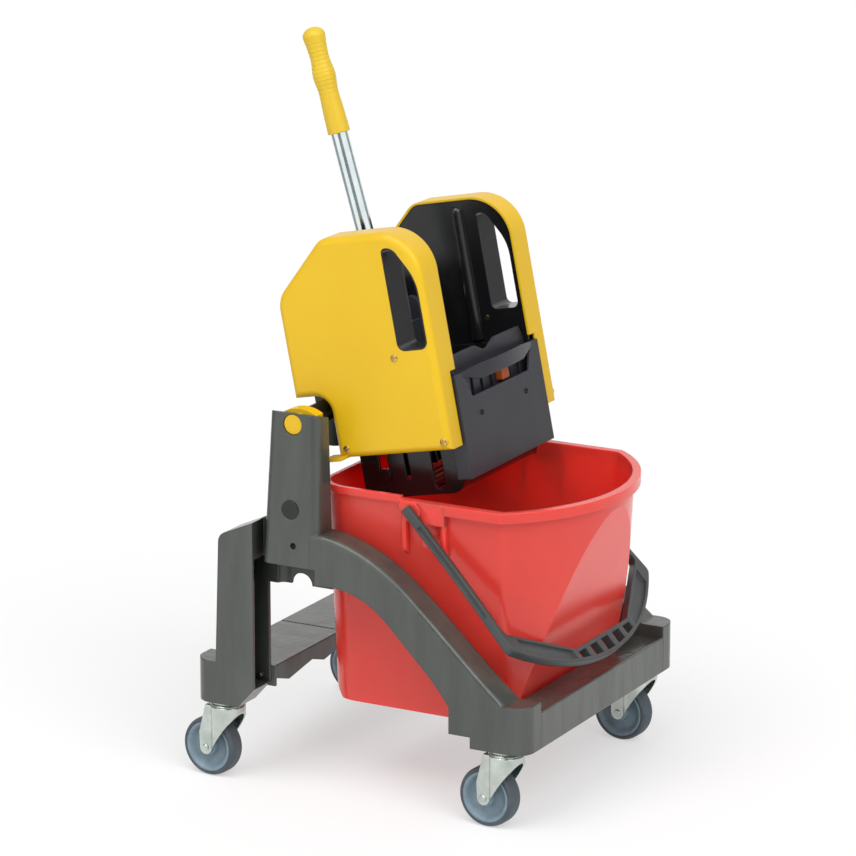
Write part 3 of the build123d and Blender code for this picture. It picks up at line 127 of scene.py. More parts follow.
class NodeSheet:
    """The node tree of one material, with short calls to add and join nodes."""

    noise_roughness: float = 0.55
    noise_middle: tuple[float, float] = (0.3, 0.7)
    bump_strength: float = 0.6
    corner_rays: int = 6
    # Rays for the painted shade in hollows.
    hollow_rays: int = 8

    def __init__(self, name: str) -> None:
        """Start an empty material that has only its output node.

        Args:
            name: Name of the material.
        """
        self.material = bpy.data.materials.new(name)
        self.material.use_nodes = True
        self.tree = self.material.node_tree
        self.tree.nodes.clear()
        self.output = self.add("ShaderNodeOutputMaterial")

    def add(self, kind: str, inputs: Settings | None = None, **settings: object) -> bpy.types.Node:
        """Add a node.

        Args:
            kind: Type name of the node.
            inputs: Values for its sockets, by socket name.
            **settings: Values for its own properties.

        Returns:
            The new node.
        """
        node = self.tree.nodes.new(kind)
        for key, value in settings.items():
            setattr(node, key, value)
        for key, value in (inputs or {}).items():
            node.inputs[key].default_value = value
        return node

    def join(self, source: Socket, target: Socket) -> None:
        """Link one socket to another."""
        self.tree.links.new(source, target)

    def noise(self, scale: float, detail: float, stretch: Point = (1.0, 1.0, 1.0)) -> Socket:
        """Add a noise on the object's own coordinates, stretched.

        Args:
            scale: Waves in a metre.
            detail: Octaves.
            stretch: Factor on each axis.

        Returns:
            The noise value.
        """
        coords = self.add("ShaderNodeTexCoord")
        mapping = self.add("ShaderNodeMapping", {"Scale": stretch})
        inputs = {"Scale": scale, "Detail": detail, "Roughness": self.noise_roughness}
        noise = self.add("ShaderNodeTexNoise", inputs)
        self.join(coords.outputs["Object"], mapping.inputs["Vector"])
        self.join(mapping.outputs["Vector"], noise.inputs["Vector"])
        return noise.outputs["Fac"]

    def spread(self, source: Socket, low: float = 0.0, high: float = 1.0) -> Socket:
        """Map the middle of a noise to a range.

        Args:
            source: Noise value.
            low: Result at the noise's low end.
            high: Result at its high end.

        Returns:
            The mapped value.
        """
        start, end = self.noise_middle
        limits = {"From Min": start, "From Max": end, "To Min": low, "To Max": high}
        remap = self.add("ShaderNodeMapRange", limits, clamp=True)
        self.join(source, remap.inputs["Value"])
        return remap.outputs["Result"]

    def tones(self, source: Socket, dark: Colour, light: Colour) -> Socket:
        """Mix two tones of a colour by a value.

        Args:
            source: Value from 0 to 1.
            dark: Colour at 0.
            light: Colour at 1.

        Returns:
            The mixed colour.
        """
        mix = self.add("ShaderNodeMix", data_type="RGBA")
        colours = [socket for socket in mix.inputs if socket.type == "RGBA"]
        colours[0].default_value = (*dark, 1.0)
        colours[1].default_value = (*light, 1.0)
        self.join(source, mix.inputs[0])
        return next(socket for socket in mix.outputs if socket.type == "RGBA")

    def painted_shade(self, tone: Socket, reach: float) -> Socket:
        """Darken a colour in the hollows of its own piece: painted shade, from an ambient occlusion
        node.

        Args:
            tone: Colour of the open faces.
            reach: How far a wall counts as near, in metres.

        Returns:
            The darkened colour.
        """
        settings = {"only_local": True, "samples": self.hollow_rays}
        hollow = self.add("ShaderNodeAmbientOcclusion", {"Distance": reach}, **settings)
        self.join(tone, hollow.inputs["Color"])
        return hollow.outputs["Color"]

    def relief(self, height: Socket, depth: float, edge: float) -> Socket:
        """Bump a surface whose corners are softly rounded.

        Args:
            height: Height value from 0 to 1.
            depth: Depth of the bump in metres.
            edge: Radius of the corners in metres.

        Returns:
            The normal.
        """
        rounding = self.add("ShaderNodeBevel", {"Radius": edge}, samples=self.corner_rays)
        return self.bumped(height, depth, self.bump_strength, rounding.outputs["Normal"])

    def bumped(self, height: Socket, depth: float, strength: float, normal: Socket) -> Socket:
        """Bump a normal.

        Args:
            height: Height value from 0 to 1.
            depth: Depth of the bump in metres.
            strength: Share of the bump that shows.
            normal: The normal without it.

        Returns:
            The bumped normal.
        """
        bump = self.add("ShaderNodeBump", {"Strength": strength, "Distance": depth})
        self.join(height, bump.inputs["Height"])
        self.join(normal, bump.inputs["Normal"])
        return bump.outputs["Normal"]

    def close(
        self, surface: bpy.types.Node, tone: Socket, rough: Socket, normal: Socket
    ) -> bpy.types.Material:
        """Join what a surface is made of to it, and the surface to the output.

        Args:
            surface: The surface's node.
            tone: Its colour.
            rough: Its roughness.
            normal: Its normal.

        Returns:
            The material.
        """
        self.join(tone, surface.inputs["Base Color"])
        self.join(rough, surface.inputs["Roughness"])
        self.join(normal, surface.inputs["Normal"])
        self.join(surface.outputs["BSDF"], self.output.inputs["Surface"])
        return self.material


@dataclass(frozen=True)
class Moulding:
    """A moulded plastic: a cloudy colour with flow streaks, fine grain and rounded corners.

    It may also sink in broad waves, darken its hollows with painted shade, and let light through.
    """

    slot: Slot
    light: Colour
    dark: Colour
    roughness: float
    specular: float = 0.5
    streak: Point = (14.0, 14.0, 3.0)
    grain: float = 900.0
    depth: float = 0.00012
    edge: float = 0.0016
    sink: float = 0.0
    # Reach of the painted shade in hollows, in metres; 0 leaves it out.
    hollow: float = 0.0
    through: float = 0.0
    reach: Point = (0.014, 0.002, 0.0014)
    sink_strength: float = 1.0
    swing: float = 0.04
    cloud_detail: float = 4.0
    grain_detail: float = 2.0

    def material(self) -> bpy.types.Material:
        """Make the material.

        Returns:
            Clouded colour, roughness that varies a little, and grain as a bump.
        """
        sheet = NodeSheet(self.slot.value)
        surface = sheet.add(
            "ShaderNodeBsdfPrincipled",
            {
                "Specular IOR Level": self.specular,
                "Roughness": self.roughness,
                "Subsurface Weight": self.through,
                "Subsurface Radius": self.reach,
                "Subsurface Scale": 1.0,
            },
        )
        cloud = sheet.noise(1.0, self.cloud_detail, self.streak)
        grain = sheet.noise(self.grain, self.grain_detail)
        tone = sheet.tones(sheet.spread(cloud), self.dark, self.light)
        if self.hollow:
            # Painted shade: ambient occlusion darkens the colour in the piece's hollows.
            tone = sheet.painted_shade(tone, self.hollow)
        rough = sheet.spread(grain, self.roughness - self.swing, self.roughness + self.swing)
        normal = sheet.relief(grain, self.depth, self.edge)
        if self.sink:
            normal = sheet.bumped(cloud, self.sink, self.sink_strength, normal)
        return sheet.close(surface, tone, rough, normal)


@dataclass(frozen=True)
class Plating:
    """A plated or drawn metal: mottled tone, soft scratches along one axis and rounded corners."""

    slot: Slot
    light: Colour
    dark: Colour
    roughness: float
    scratch: Point = (60.0, 60.0, 60.0)
    depth: float = 0.00004
    edge: float = 0.0008
    mottle: float = 45.0
    detail: float = 3.0
    swing: float = 0.25

    def material(self) -> bpy.types.Material:
        """Make the material.

        Returns:
            Mottled metal whose roughness and relief follow its scratches.
        """
        sheet = NodeSheet(self.slot.value)
        inputs = {"Metallic": 1.0, "Roughness": self.roughness}
        surface = sheet.add("ShaderNodeBsdfPrincipled", inputs)
        mottle = sheet.noise(self.mottle, self.detail)
        scratch = sheet.noise(1.0, self.detail, self.scratch)
        tone = sheet.tones(sheet.spread(mottle), self.dark, self.light)
        swing = self.roughness * self.swing
        rough = sheet.spread(scratch, self.roughness - swing, self.roughness + swing)
        return sheet.close(surface, tone, rough, sheet.relief(scratch, self.depth, self.edge))


FINISHES: tuple[Moulding | Plating, ...] = (
    Moulding(
        Slot.FRAME,
        light=srgb(80, 84, 79),
        dark=srgb(64, 68, 64),
        roughness=0.22,
        streak=(24.0, 24.0, 5.0),
        edge=0.0026,
        sink=0.0016,
        # Painted shade: ambient occlusion darkens the frame's hollows within 6 cm.
        hollow=0.06,
    ),
    Moulding(
        Slot.BUCKET,
        light=srgb(238, 74, 64),
        dark=srgb(230, 66, 56),
        roughness=0.22,
        streak=(6.0, 6.0, 4.0),
        grain=1400.0,
        depth=0.00003,
        through=0.9,
    ),
    Moulding(
        Slot.COVER,
        light=srgb(228, 186, 25),
        dark=srgb(223, 180, 22),
        roughness=0.36,
        specular=0.4,
        streak=(7.0, 7.0, 5.0),
    ),
    Moulding(
        Slot.GRIP,
        light=srgb(226, 192, 50),
        dark=srgb(220, 184, 42),
        roughness=0.42,
        specular=0.4,
        streak=(30.0, 30.0, 12.0),
    ),
    Moulding(
        Slot.PRESS,
        light=srgb(47, 48, 55),
        dark=srgb(40, 42, 48),
        roughness=0.36,
        specular=0.45,
        streak=(26.0, 26.0, 8.0),
    ),
    Moulding(
        Slot.BLACK,
        light=srgb(26, 26, 28),
        dark=srgb(18, 18, 20),
        roughness=0.20,
        streak=(20.0, 20.0, 8.0),
        grain=1200.0,
        depth=0.00006,
    ),
    Moulding(
        Slot.BAIL,
        light=srgb(72, 76, 76),
        dark=srgb(60, 64, 64),
        roughness=0.36,
        specular=0.4,
        streak=(40.0, 12.0, 12.0),
        edge=0.0028,
    ),
    Moulding(
        Slot.CATCH,
        light=srgb(172, 84, 30),
        dark=srgb(154, 70, 24),
        roughness=0.45,
        specular=0.3,
    ),
    Moulding(
        Slot.HUB,
        light=srgb(124, 143, 154),
        dark=srgb(106, 125, 137),
        roughness=0.42,
        specular=0.4,
        streak=(60.0, 60.0, 60.0),
    ),
    Moulding(
        Slot.TYRE,
        light=srgb(82, 91, 97),
        dark=srgb(66, 75, 81),
        roughness=0.55,
        specular=0.3,
        streak=(70.0, 70.0, 70.0),
        grain=1200.0,
    ),
    Plating(
        Slot.ZINC,
        light=srgb(208, 214, 208),
        dark=srgb(176, 186, 180),
        roughness=0.28,
        scratch=(120.0, 120.0, 40.0),
    ),
    Plating(
        Slot.SCREW,
        light=srgb(226, 196, 120),
        dark=srgb(186, 150, 84),
        roughness=0.24,
    ),
    Plating(
        Slot.TUBE,
        light=srgb(236, 247, 248),
        dark=srgb(218, 230, 232),
        roughness=0.14,
        scratch=(500.0, 500.0, 4.0),
    ),
)


class Paints:
    """All finishes, made once and handed out by slot."""

    def __init__(self) -> None:
        """Make the material of every finish."""
        self.by_slot = {finish.slot: finish.material() for finish in FINISHES}

    def dress(self, item: bpy.types.Object, slot: Slot) -> None:
        """Give an object one finish.

        Args:
            item: The object.
            slot: Its material slot.
        """
        materials = item.data.materials
        materials.clear()
        materials.append(self.by_slot[slot])


def surface_faces(rows: int, columns: int, wrap_rows: bool) -> np.ndarray:
    """Number the four-sided faces of a grid of points whose last column meets the first.

    Args:
        rows: Points along the first parameter.
        columns: Points along the second parameter.
        wrap_rows: Whether the last row meets the first too.

    Returns:
        One row of four point numbers for each face.
    """
    first = np.arange(rows if wrap_rows else rows - 1)
    second = np.arange(columns)
    row, column = (part.ravel() for part in np.meshgrid(first, second, indexing="ij"))
    next_row = (row + 1) % rows
    next_column = (column + 1) % columns
    corners = ((row, column), (row, next_column), (next_row, next_column), (next_row, column))
    return np.stack([r * columns + c for r, c in corners], axis=-1)


class Piece:
    """One new piece, gathered from surfaces and then made a mesh at the origin."""

    def __init__(self, name: str, body: str, slot: Slot) -> None:
        """Start an empty piece.

        Args:
            name: Name of the object.
            body: Body that it moves with.
            slot: Its material slot.
        """
        self.name = name
        self.body = body
        self.slot = slot
        self.points: list[np.ndarray] = []
        self.faces: list[np.ndarray] = []
        self.count = 0

    def surface(self, grid: np.ndarray, wrap_rows: bool = False) -> None:
        """Add a surface that runs round.

        Args:
            grid: Points as rows, columns and three coordinates in metres.
            wrap_rows: Whether the last row meets the first.
        """
        rows, columns = grid.shape[:2]
        self.points.append(grid.reshape(-1, 3))
        self.faces.append(surface_faces(rows, columns, wrap_rows) + self.count)
        self.count += rows * columns

    def mesh(self, sharp: float) -> bpy.types.Mesh:
        """Make the mesh, close its poles and turn its faces out.

        Args:
            sharp: Angle in degrees past which an edge stays sharp.

        Returns:
            The mesh.
        """
        mesh = bpy.data.meshes.new(self.name)
        points, faces = np.concatenate(self.points), np.concatenate(self.faces)
        mesh.from_pydata(points.tolist(), [], faces.tolist())
        work = bmesh.new()
        work.from_mesh(mesh)
        bmesh.ops.remove_doubles(work, verts=work.verts, dist=MERGE_DISTANCE)
        bmesh.ops.dissolve_degenerate(work, edges=work.edges, dist=MERGE_DISTANCE)
        bmesh.ops.recalc_face_normals(work, faces=work.faces)
        work.to_mesh(mesh)
        work.free()
        mesh.shade_smooth()
        mesh.set_sharp_from_angle(angle=math.radians(sharp))
        return mesh

    def finish(self, paints: Paints, sharp: float, *nodes: str) -> None:
        """Make the object, hang it on its body and dress it.

        Args:
            paints: The finishes.
            sharp: Angle in degrees past which an edge stays sharp.
            *nodes: Nodes that the piece stands for.
        """
        item = bpy.data.objects.new(self.name, self.mesh(sharp))
        bpy.context.scene.collection.objects.link(item)
        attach(item, self.body)
        if nodes:
            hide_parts(*nodes)
        paints.dress(item, self.slot)
        log.info("%s rides on %s with %d faces", self.name, self.body, len(item.data.polygons))


def across(axis: np.ndarray) -> tuple[np.ndarray, np.ndarray]:
    """Find two unit directions square to an axis: its cross product with a helper, then with that.

    Args:
        axis: Unit direction.

    Returns:
        The two directions.
    """
    helper = np.array((0.0, 0.0, 1.0)) if abs(axis[2]) < UPRIGHT else np.array((1.0, 0.0, 0.0))
    first = np.cross(axis, helper)
    first /= np.linalg.norm(first)
    return first, np.cross(axis, first)


def turned(profile: np.ndarray, centre: np.ndarray, axis: np.ndarray, steps: int) -> np.ndarray:
    """Turn a profile round an axis: centre + along * axis + radius * (cos t, sin t).

    Args:
        profile: Rows of distance along the axis and radius, in metres.
        centre: Point on the axis.
        axis: Unit direction.
        steps: Points round the axis.

    Returns:
        Grid of points.
    """
    first, second = across(axis)
    angle = np.linspace(0.0, 2.0 * np.pi, steps, endpoint=False)
    ring = np.cos(angle)[:, None] * first + np.sin(angle)[:, None] * second
    return centre + profile[:, 0, None, None] * axis + profile[:, 1, None, None] * ring[None]


def eased(knots: np.ndarray, places: np.ndarray) -> np.ndarray:
    """Run a smooth curve through knots: cubic pieces whose slopes are central differences.

    Args:
        knots: Rows of place and value, places rising.
        places: Where to read the curve.

    Returns:
        The values there.
    """
    at, value = knots[:, 0], knots[:, 1]
    slope = np.gradient(value, at)
    index = np.clip(np.searchsorted(at, places) - 1, 0, len(at) - 2)
    span = at[index + 1] - at[index]
    t = (places - at[index]) / span
    start = (1 + 2 * t) * (1 - t) ** 2 * value[index] + t * (1 - t) ** 2 * span * slope[index]
    end = t**2 * (3 - 2 * t) * value[index + 1] + t**2 * (t - 1) * span * slope[index + 1]
    return start + end


def rounded(corners: Profile, steps: int) -> np.ndarray:
    """Round the corners of a profile: quadratic arcs between points on the two sides of each.

    Args:
        corners: Rows of along, radius and rounding length, in millimetres.
        steps: Points in each rounded corner.

    Returns:
        Rows of along and radius, in metres.
    """
    table = np.array(corners)
    path, length = table[:, :2], table[:, 2]
    back = np.roll(path, 1, axis=0) - path
    ahead = np.roll(path, -1, axis=0) - path
    back /= np.linalg.norm(back, axis=1)[:, None]
    ahead /= np.linalg.norm(ahead, axis=1)[:, None]
    start = path + back * length[:, None]
    end = path + ahead * length[:, None]
    t = np.linspace(0.0, 1.0, steps)[None, :, None]
    arcs = (1 - t) ** 2 * start[:, None] + 2 * t * (1 - t) * path[:, None] + t**2 * end[:, None]
    return arcs.reshape(-1, 2) * MM


class Assembly:
    """A group of pieces: some are made anew, the others are nodes that are dressed as they are."""

    slots: dict[str, Slot]

    def dress(self, nodes: Solids, paints: Paints, ending: str = "") -> None:
        """Dress the group's nodes.

        Args:
            nodes: The trolley's nodes.
            paints: The finishes.
            ending: What the names of the group's nodes end with.
        """
        for name, slot in self.slots.items():
            paints.dress(nodes[name + ending], slot)
            log.info("%s is dressed in %s", name + ending, slot.value)


@dataclass(frozen=True)
class WheelPart:
    """A turned part of a wheel.

    The side is half its profile, from the inside out: along the axle, radius and rounding length.
    """

    name: str
    slot: Slot
    bend_steps: int
    side: Profile

    def profile(self) -> np.ndarray:
        """Close the side by its mirror image and round its corners."""
        mirror = tuple((-along, radius, bend) for along, radius, bend in reversed(self.side))
        return rounded(self.side + mirror, self.bend_steps)


@dataclass
class Castor(Assembly):
    """A castor whose wheel is turned: a shouldered tyre on a hub of boss, dished web and rim."""

    corner: Corner
    joints: Joints
    steps: int = 96
    sharp: float = 50.0
    tyre: WheelPart = WheelPart(
        "tyre",
        Slot.TYRE,
        7,
        (
            (12.0, 32.0, 0.2),
            (12.0, 34.4, 1.0),
            (10.8, 36.1, 1.1),
            (7.6, 37.5, 2.0),
        ),
    )
    hub: WheelPart = WheelPart(
        "hub",
        Slot.HUB,
        5,
        (
            (13.5, 3.05, 0.2),
            (13.5, 9.8, 0.6),
            (12.3, 11.0, 0.6),
            (4.5, 12.2, 1.0),
            (4.5, 23.0, 2.4),
            (11.0, 27.6, 1.2),
            (12.3, 29.4, 0.6),
            (12.3, 31.1, 0.5),
            (11.4, 32.0, 0.3),
        ),
    )
    slots: dict[str, Slot] = field(
        default_factory=lambda: {
            "castor_fork": Slot.ZINC,
            "castor_race": Slot.ZINC,
            "castor_axle": Slot.ZINC,
        }
    )

    def axle(self) -> tuple[np.ndarray, np.ndarray]:
        """Read the wheel's centre and axis from its joint.

        Returns:
            Centre in metres and unit direction.
        """
        joint = self.joints["spin_" + self.corner.value]
        direction = np.array(joint["axis"], float)
        return np.array(joint["pos_m"], float), direction / np.linalg.norm(direction)

    def build(self, nodes: Solids, paints: Paints) -> None:
        """Turn the wheel's parts on the axle and dress the rest.

        Args:
            nodes: The trolley's nodes.
            paints: The finishes.
        """
        ending = "_" + self.corner.value
        for part in (self.tyre, self.hub):
            piece = Piece(part.name + ending, "wheel" + ending, part.slot)
            piece.surface(turned(part.profile(), *self.axle(), self.steps), wrap_rows=True)
            piece.finish(paints, self.sharp, f"castor_{part.name}{ending}")
        self.dress(nodes, paints, ending)


@dataclass
class Chassis(Assembly):
    """Side frames, tray, beam and spine with their fasteners."""

    slots: dict[str, Slot] = field(
        default_factory=lambda: {
            "side_frame_right": Slot.FRAME,
            "side_frame_left": Slot.FRAME,
            "front_tray": Slot.FRAME,
            "rear_beam": Slot.FRAME,
            "spine": Slot.FRAME,
            "frame_bolts": Slot.ZINC,
            "castor_stems": Slot.ZINC,
            "pivot_pins": Slot.COVER,
            "tower_plugs": Slot.BLACK,
        }
    )

    def build(self, nodes: Solids, paints: Paints) -> None:
        """Dress the nodes."""
        self.dress(nodes, paints)


@dataclass
class BucketAndBail(Assembly):
    """The bucket with the ribs and plate of its ears, and its bail handle.

    The rows of a rib's outline are sideways, up and rounding length, those of a plate's outline
    are along, up and rounding length.
    """

    rib_outline: Profile = (
        (155.0, 376.0, 0.3),
        (162.3, 376.0, 0.3),
        (162.3, 322.0, 3.0),
        (150.8, 314.0, 0.3),
    )
    rib_places: tuple[float, ...] = (-96.0, -43.0)
    rib_half: float = 3.3
    plate_outline: Profile = (
        (-99.3, 358.0, 2.0),
        (-62.0, 358.0, 0.3),
        (-62.0, 384.5, 0.3),
        (-99.3, 384.5, 2.0),
    )
    plate_reach: tuple[float, float] = (154.2, 165.4)
    edge: float = 0.6
    bend_steps: int = 6
    sharp: float = 40.0
    slots: dict[str, Slot] = field(
        default_factory=lambda: {"bucket": Slot.BUCKET, "bail": Slot.BAIL}
    )

    def slab(self, corners: Profile, low: float, high: float) -> np.ndarray:
        """Carry an outline across: centre + share * (outline - centre), the share less at the ends.

        Args:
            corners: Rows of two outline coordinates and the rounding length, in millimetres.
            low: Where the slab starts, in millimetres.
            high: Where it ends.

        Returns:
            Grid of rows across and points round, the place across as third coordinate, in metres.
        """
        outline = rounded(corners, self.bend_steps)
        centre = outline.mean(axis=0)
        inset = 1.0 - self.edge * MM / np.abs(outline - centre).max(axis=0).min()
        share = np.array((0.0, inset, 1.0, 1.0, inset, 0.0))[:, None, None]
        place = np.array((low, low, low + self.edge, high - self.edge, high, high)) * MM
        flat = centre + share * (outline - centre)
        third = np.broadcast_to(place[:, None, None], (*flat.shape[:2], 1))
        return np.concatenate((flat, third), axis=-1)

    def ears(self, paints: Paints) -> None:
        """Set the ribs and the plate that carry the bail's ears on both sides.

        Args:
            paints: The finishes.
        """
        piece = Piece("ears", "bucket", Slot.BUCKET)
        plate = self.slab(self.plate_outline, *self.plate_reach)[..., [2, 0, 1]]
        for side in SIDES:
            mirror = np.array((side, 1.0, 1.0))
            piece.surface(plate * mirror)
            for place in self.rib_places:
                rib = self.slab(self.rib_outline, place - self.rib_half, place + self.rib_half)
                piece.surface(rib[..., [0, 2, 1]] * mirror)
        piece.finish(paints, self.sharp)

    def build(self, nodes: Solids, paints: Paints) -> None:
        """Set the ears and dress the nodes."""
        self.ears(paints)
        self.dress(nodes, paints)


@dataclass
class Press(Assembly):
    """Covers, liners, front plate, sieve, basket and panel, with screws and hollow studs.

    A screw's place is along and up in the press's own frame, and the end of its shank. The rows of
    the stud's profile are along, radius and rounding length.
    """

    joints: Joints
    tilt: float = 11.3
    sharp: float = 40.0
    face_x: float = 140.0
    screw_places: tuple[Point, ...] = (
        (-124.5, 60.8, 98.5),
        (-172.0, -46.0, 105.5),
        (-36.0, -46.0, 98.5),
    )
    screw_steps: int = 96
    screw_rings: int = 26
    shank_r: float = 2.5
    head_r: float = 4.6
    head_edge: float = 0.7
    head_rise: float = 1.9
    recess_depth: float = 1.3
    recess_half: float = 0.65
    recess_reach: float = 2.9
    recess_flank: float = 0.2
    recess_end: float = 0.3
    stud_place: Point = (58.0, -184.0, -28.5)
    stud_axis: Point = (0.0, 1.0, 0.0)
    stud_steps: int = 48
    stud_bend_steps: int = 4
    stud_profile: Profile = (
        (12.0, 0.0, 0.0),
        (12.0, 2.2, 0.3),
        (0.3, 2.35, 0.1),
        (-0.1, 3.0, 0.1),
        (-0.9, 3.1, 0.1),
        (-0.9, 3.3, 0.1),
        (0.0, 3.6, 0.1),
        (0.0, 2.5, 0.1),
        (3.5, 2.5, 0.1),
        (3.5, 5.0, 0.3),
        (13.0, 5.0, 0.3),
        (13.0, 2.5, 0.1),
        (17.0, 2.5, 0.3),
        (17.0, 0.0, 0.0),
    )
    slots: dict[str, Slot] = field(
        default_factory=lambda: {
            "press_cover_right": Slot.COVER,
            "press_cover_left": Slot.COVER,
            "press_liner_right": Slot.BLACK,
            "press_liner_left": Slot.BLACK,
            "hinge_boss_right": Slot.BLACK,
            "hinge_boss_left": Slot.BLACK,
            "front_plate": Slot.PRESS,
            "front_sieve": Slot.PRESS,
            "basket": Slot.BLACK,
            "rear_panel": Slot.BLACK,
            "tie_rod": Slot.ZINC,
            "press_catch": Slot.CATCH,
            "lever_shaft": Slot.BLACK,
        }
    )

    def placed(self, points: np.ndarray) -> np.ndarray:
        """Turn points of the press's own frame by its lean and set them on the hinge.

        Args:
            points: Sideways, along and up in metres.

        Returns:
            The points in the trolley's frame.
        """
        cos, sin = math.cos(math.radians(self.tilt)), math.sin(math.radians(self.tilt))
        x, y, z = np.moveaxis(points, -1, 0)
        leaning = np.stack((x, y * cos + z * sin, z * cos - y * sin), axis=-1)
        return np.array(self.joints["press_tilt"]["pos_m"], float) + leaning

    def screw(self, side: float, place: Point) -> np.ndarray:
        """Draw a screw: a turned shank and a dome, sunk by a soft cross where |u| or |v| is small.

        Args:
            side: -1 for the left cover, 1 for the right.
            place: Along and up in the press's own frame, and the end of the shank, in millimetres.

        Returns:
            Grid of points in metres.
        """
        along, up, end = place
        share = np.linspace(1.0, 0.0, self.screw_rings)[:, None]
        angle = np.linspace(0.0, 2.0 * np.pi, self.screw_steps, endpoint=False)
        ring = np.stack((np.cos(angle), np.sin(angle)), axis=-1)
        u, v = (self.head_r * share * part for part in ring.T)
        near, far = np.minimum(np.abs(u), np.abs(v)), np.maximum(np.abs(u), np.abs(v))
        sunk = np.clip((self.recess_half - near) / self.recess_flank, 0, 1)
        sunk = sunk * np.clip((self.recess_reach - far) / self.recess_end, 0, 1)
        dome = self.head_edge + (self.head_rise - self.head_edge) * (1.0 - share**2)
        head = np.stack((self.face_x + dome - self.recess_depth * sunk, u, v), axis=-1)
        shank_end, shank = (end, 0.0), (end, self.shank_r)
        neck, brim = (self.face_x, self.shank_r), (self.face_x, self.head_r)
        rims = np.array((shank_end, shank, neck, brim))
        height = np.broadcast_to(rims[:, 0, None, None], (len(rims), self.screw_steps, 1))
        body = np.concatenate((height, rims[:, 1, None, None] * ring), axis=-1)
        grid = np.concatenate((body, head)) + np.array((0.0, along, up))
        return self.placed(grid * np.array((side, 1.0, 1.0)) * MM)

    def screws(self, paints: Paints) -> None:
        """Set the screws of both covers.

        Args:
            paints: The finishes.
        """
        piece = Piece("screws", "press", Slot.SCREW)
        for side in SIDES:
            for place in self.screw_places:
                piece.surface(self.screw(side, place))
        piece.finish(paints, self.sharp, "cover_screws")

    def studs(self, paints: Paints) -> None:
        """Turn the hollow studs: a collared deep bore, a spacer behind the plate and a plain end.

        Args:
            paints: The finishes.
        """
        profile = rounded(self.stud_profile, self.stud_bend_steps)
        piece = Piece("studs", "press", Slot.BLACK)
        for side in SIDES:
            centre = np.array(self.stud_place) * np.array((side, 1.0, 1.0)) * MM
            stud = turned(profile, centre, np.array(self.stud_axis), self.stud_steps)
            piece.surface(self.placed(stud))
        piece.finish(paints, self.sharp, "plate_studs")

    def build(self, nodes: Solids, paints: Paints) -> None:
        """Set the screws and studs and dress the nodes.

        Args:
            nodes: The trolley's nodes.
            paints: The finishes.
        """
        self.screws(paints)
        self.studs(paints)
        self.dress(nodes, paints)


@dataclass
class Lever(Assembly):
    """Yoke, jaw, tube and the ringed grip, whose knots are rows of height and radius."""

    joints: Joints
    lean: float = 16.6
    sharp: float = 50.0
    grip_bottom: float = 414.0
    knots: tuple[tuple[float, float], ...] = (
        (0.0, 14.0),
        (26.0, 13.3),
        (54.0, 12.4),
        (72.0, 14.3),
        (93.0, 11.9),
        (109.0, 12.7),
        (122.0, 14.2),
    )
    bore_r: float = 11.1
    bore_depth: float = 64.5
    foot_edge: float = 0.8
    knob_rise: float = 11.0
    ring_low: float = 46.0
    ring_high: float = 118.0
    ring_pitch: float = 5.2
    ring_depth: float = 0.32
    ring_power: int = 3
    rows: int = 320
    crown_rows: int = 24
    steps: int = 72
    slots: dict[str, Slot] = field(
        default_factory=lambda: {
            "lever_yoke": Slot.PRESS,
            "press_jaw": Slot.BLACK,
            "lever_tube": Slot.TUBE,
            "tube_bolt": Slot.ZINC,
        }
    )

    def rings(self, up: np.ndarray) -> np.ndarray:
        """Cut the ring grooves: a raised cosine to a power, faded in and out over one pitch.

        Args:
            up: Heights on the grip, in millimetres.

        Returns:
            The depth of the grooves there.
        """
        fade_in = np.clip((up - self.ring_low) / self.ring_pitch, 0, 1)
        fade_out = np.clip((self.ring_high - up) / self.ring_pitch, 0, 1)
        wave = 0.5 - 0.5 * np.cos(2 * np.pi * up / self.ring_pitch)
        return self.ring_depth * fade_in * fade_out * wave**self.ring_power

    def profile(self) -> np.ndarray:
        """Draw the grip: a blind bore, a waisted side with grooves, and a round crown to the axis.

        Returns:
            Rows of distance from the shaft and radius, in metres.
        """
        knots = np.array(self.knots)
        top, crown_r = knots[-1]
        up = np.linspace(0.0, top, self.rows)
        side = np.stack((up, eased(knots, up) - self.rings(up)), axis=-1)
        turn = np.linspace(0.0, np.pi / 2, self.crown_rows)[1:]
        crown = np.stack((top + self.knob_rise * np.sin(turn), crown_r * np.cos(turn)), axis=-1)
        bore = ((self.bore_depth, 0.0), (self.bore_depth, self.bore_r), (0.0, self.bore_r))
        foot = np.array((*bore, (0.0, knots[0, 1] - self.foot_edge)))
        line = np.concatenate((foot, side[1:], crown))
        line[:, 0] += self.grip_bottom
        return line * MM

    def grip(self, paints: Paints) -> None:
        """Turn the grip on the lever's own line.

        Args:
            paints: The finishes.
        """
        lean = math.radians(self.lean)
        axis = np.array((0.0, math.sin(lean), math.cos(lean)))
        shaft = np.array(self.joints["lever_swing"]["pos_m"], float)
        piece = Piece("grip", "lever", Slot.GRIP)
        piece.surface(turned(self.profile(), shaft, axis, self.steps))
        piece.finish(paints, self.sharp, "lever_grip")

    def build(self, nodes: Solids, paints: Paints) -> None:
        """Make the grip and dress the rest."""
        self.grip(paints)
        self.dress(nodes, paints)


@dataclass(frozen=True)
class Lamp:
    """A soft lamp, with its direction and its spread in degrees."""

    name: str
    azimuth: float
    elevation: float
    power: float
    spread: float


@dataclass(frozen=True)
class Card:
    """A grey card that stands on the floor, with its direction in degrees."""

    name: str
    azimuth: float
    half: float
    distance: float


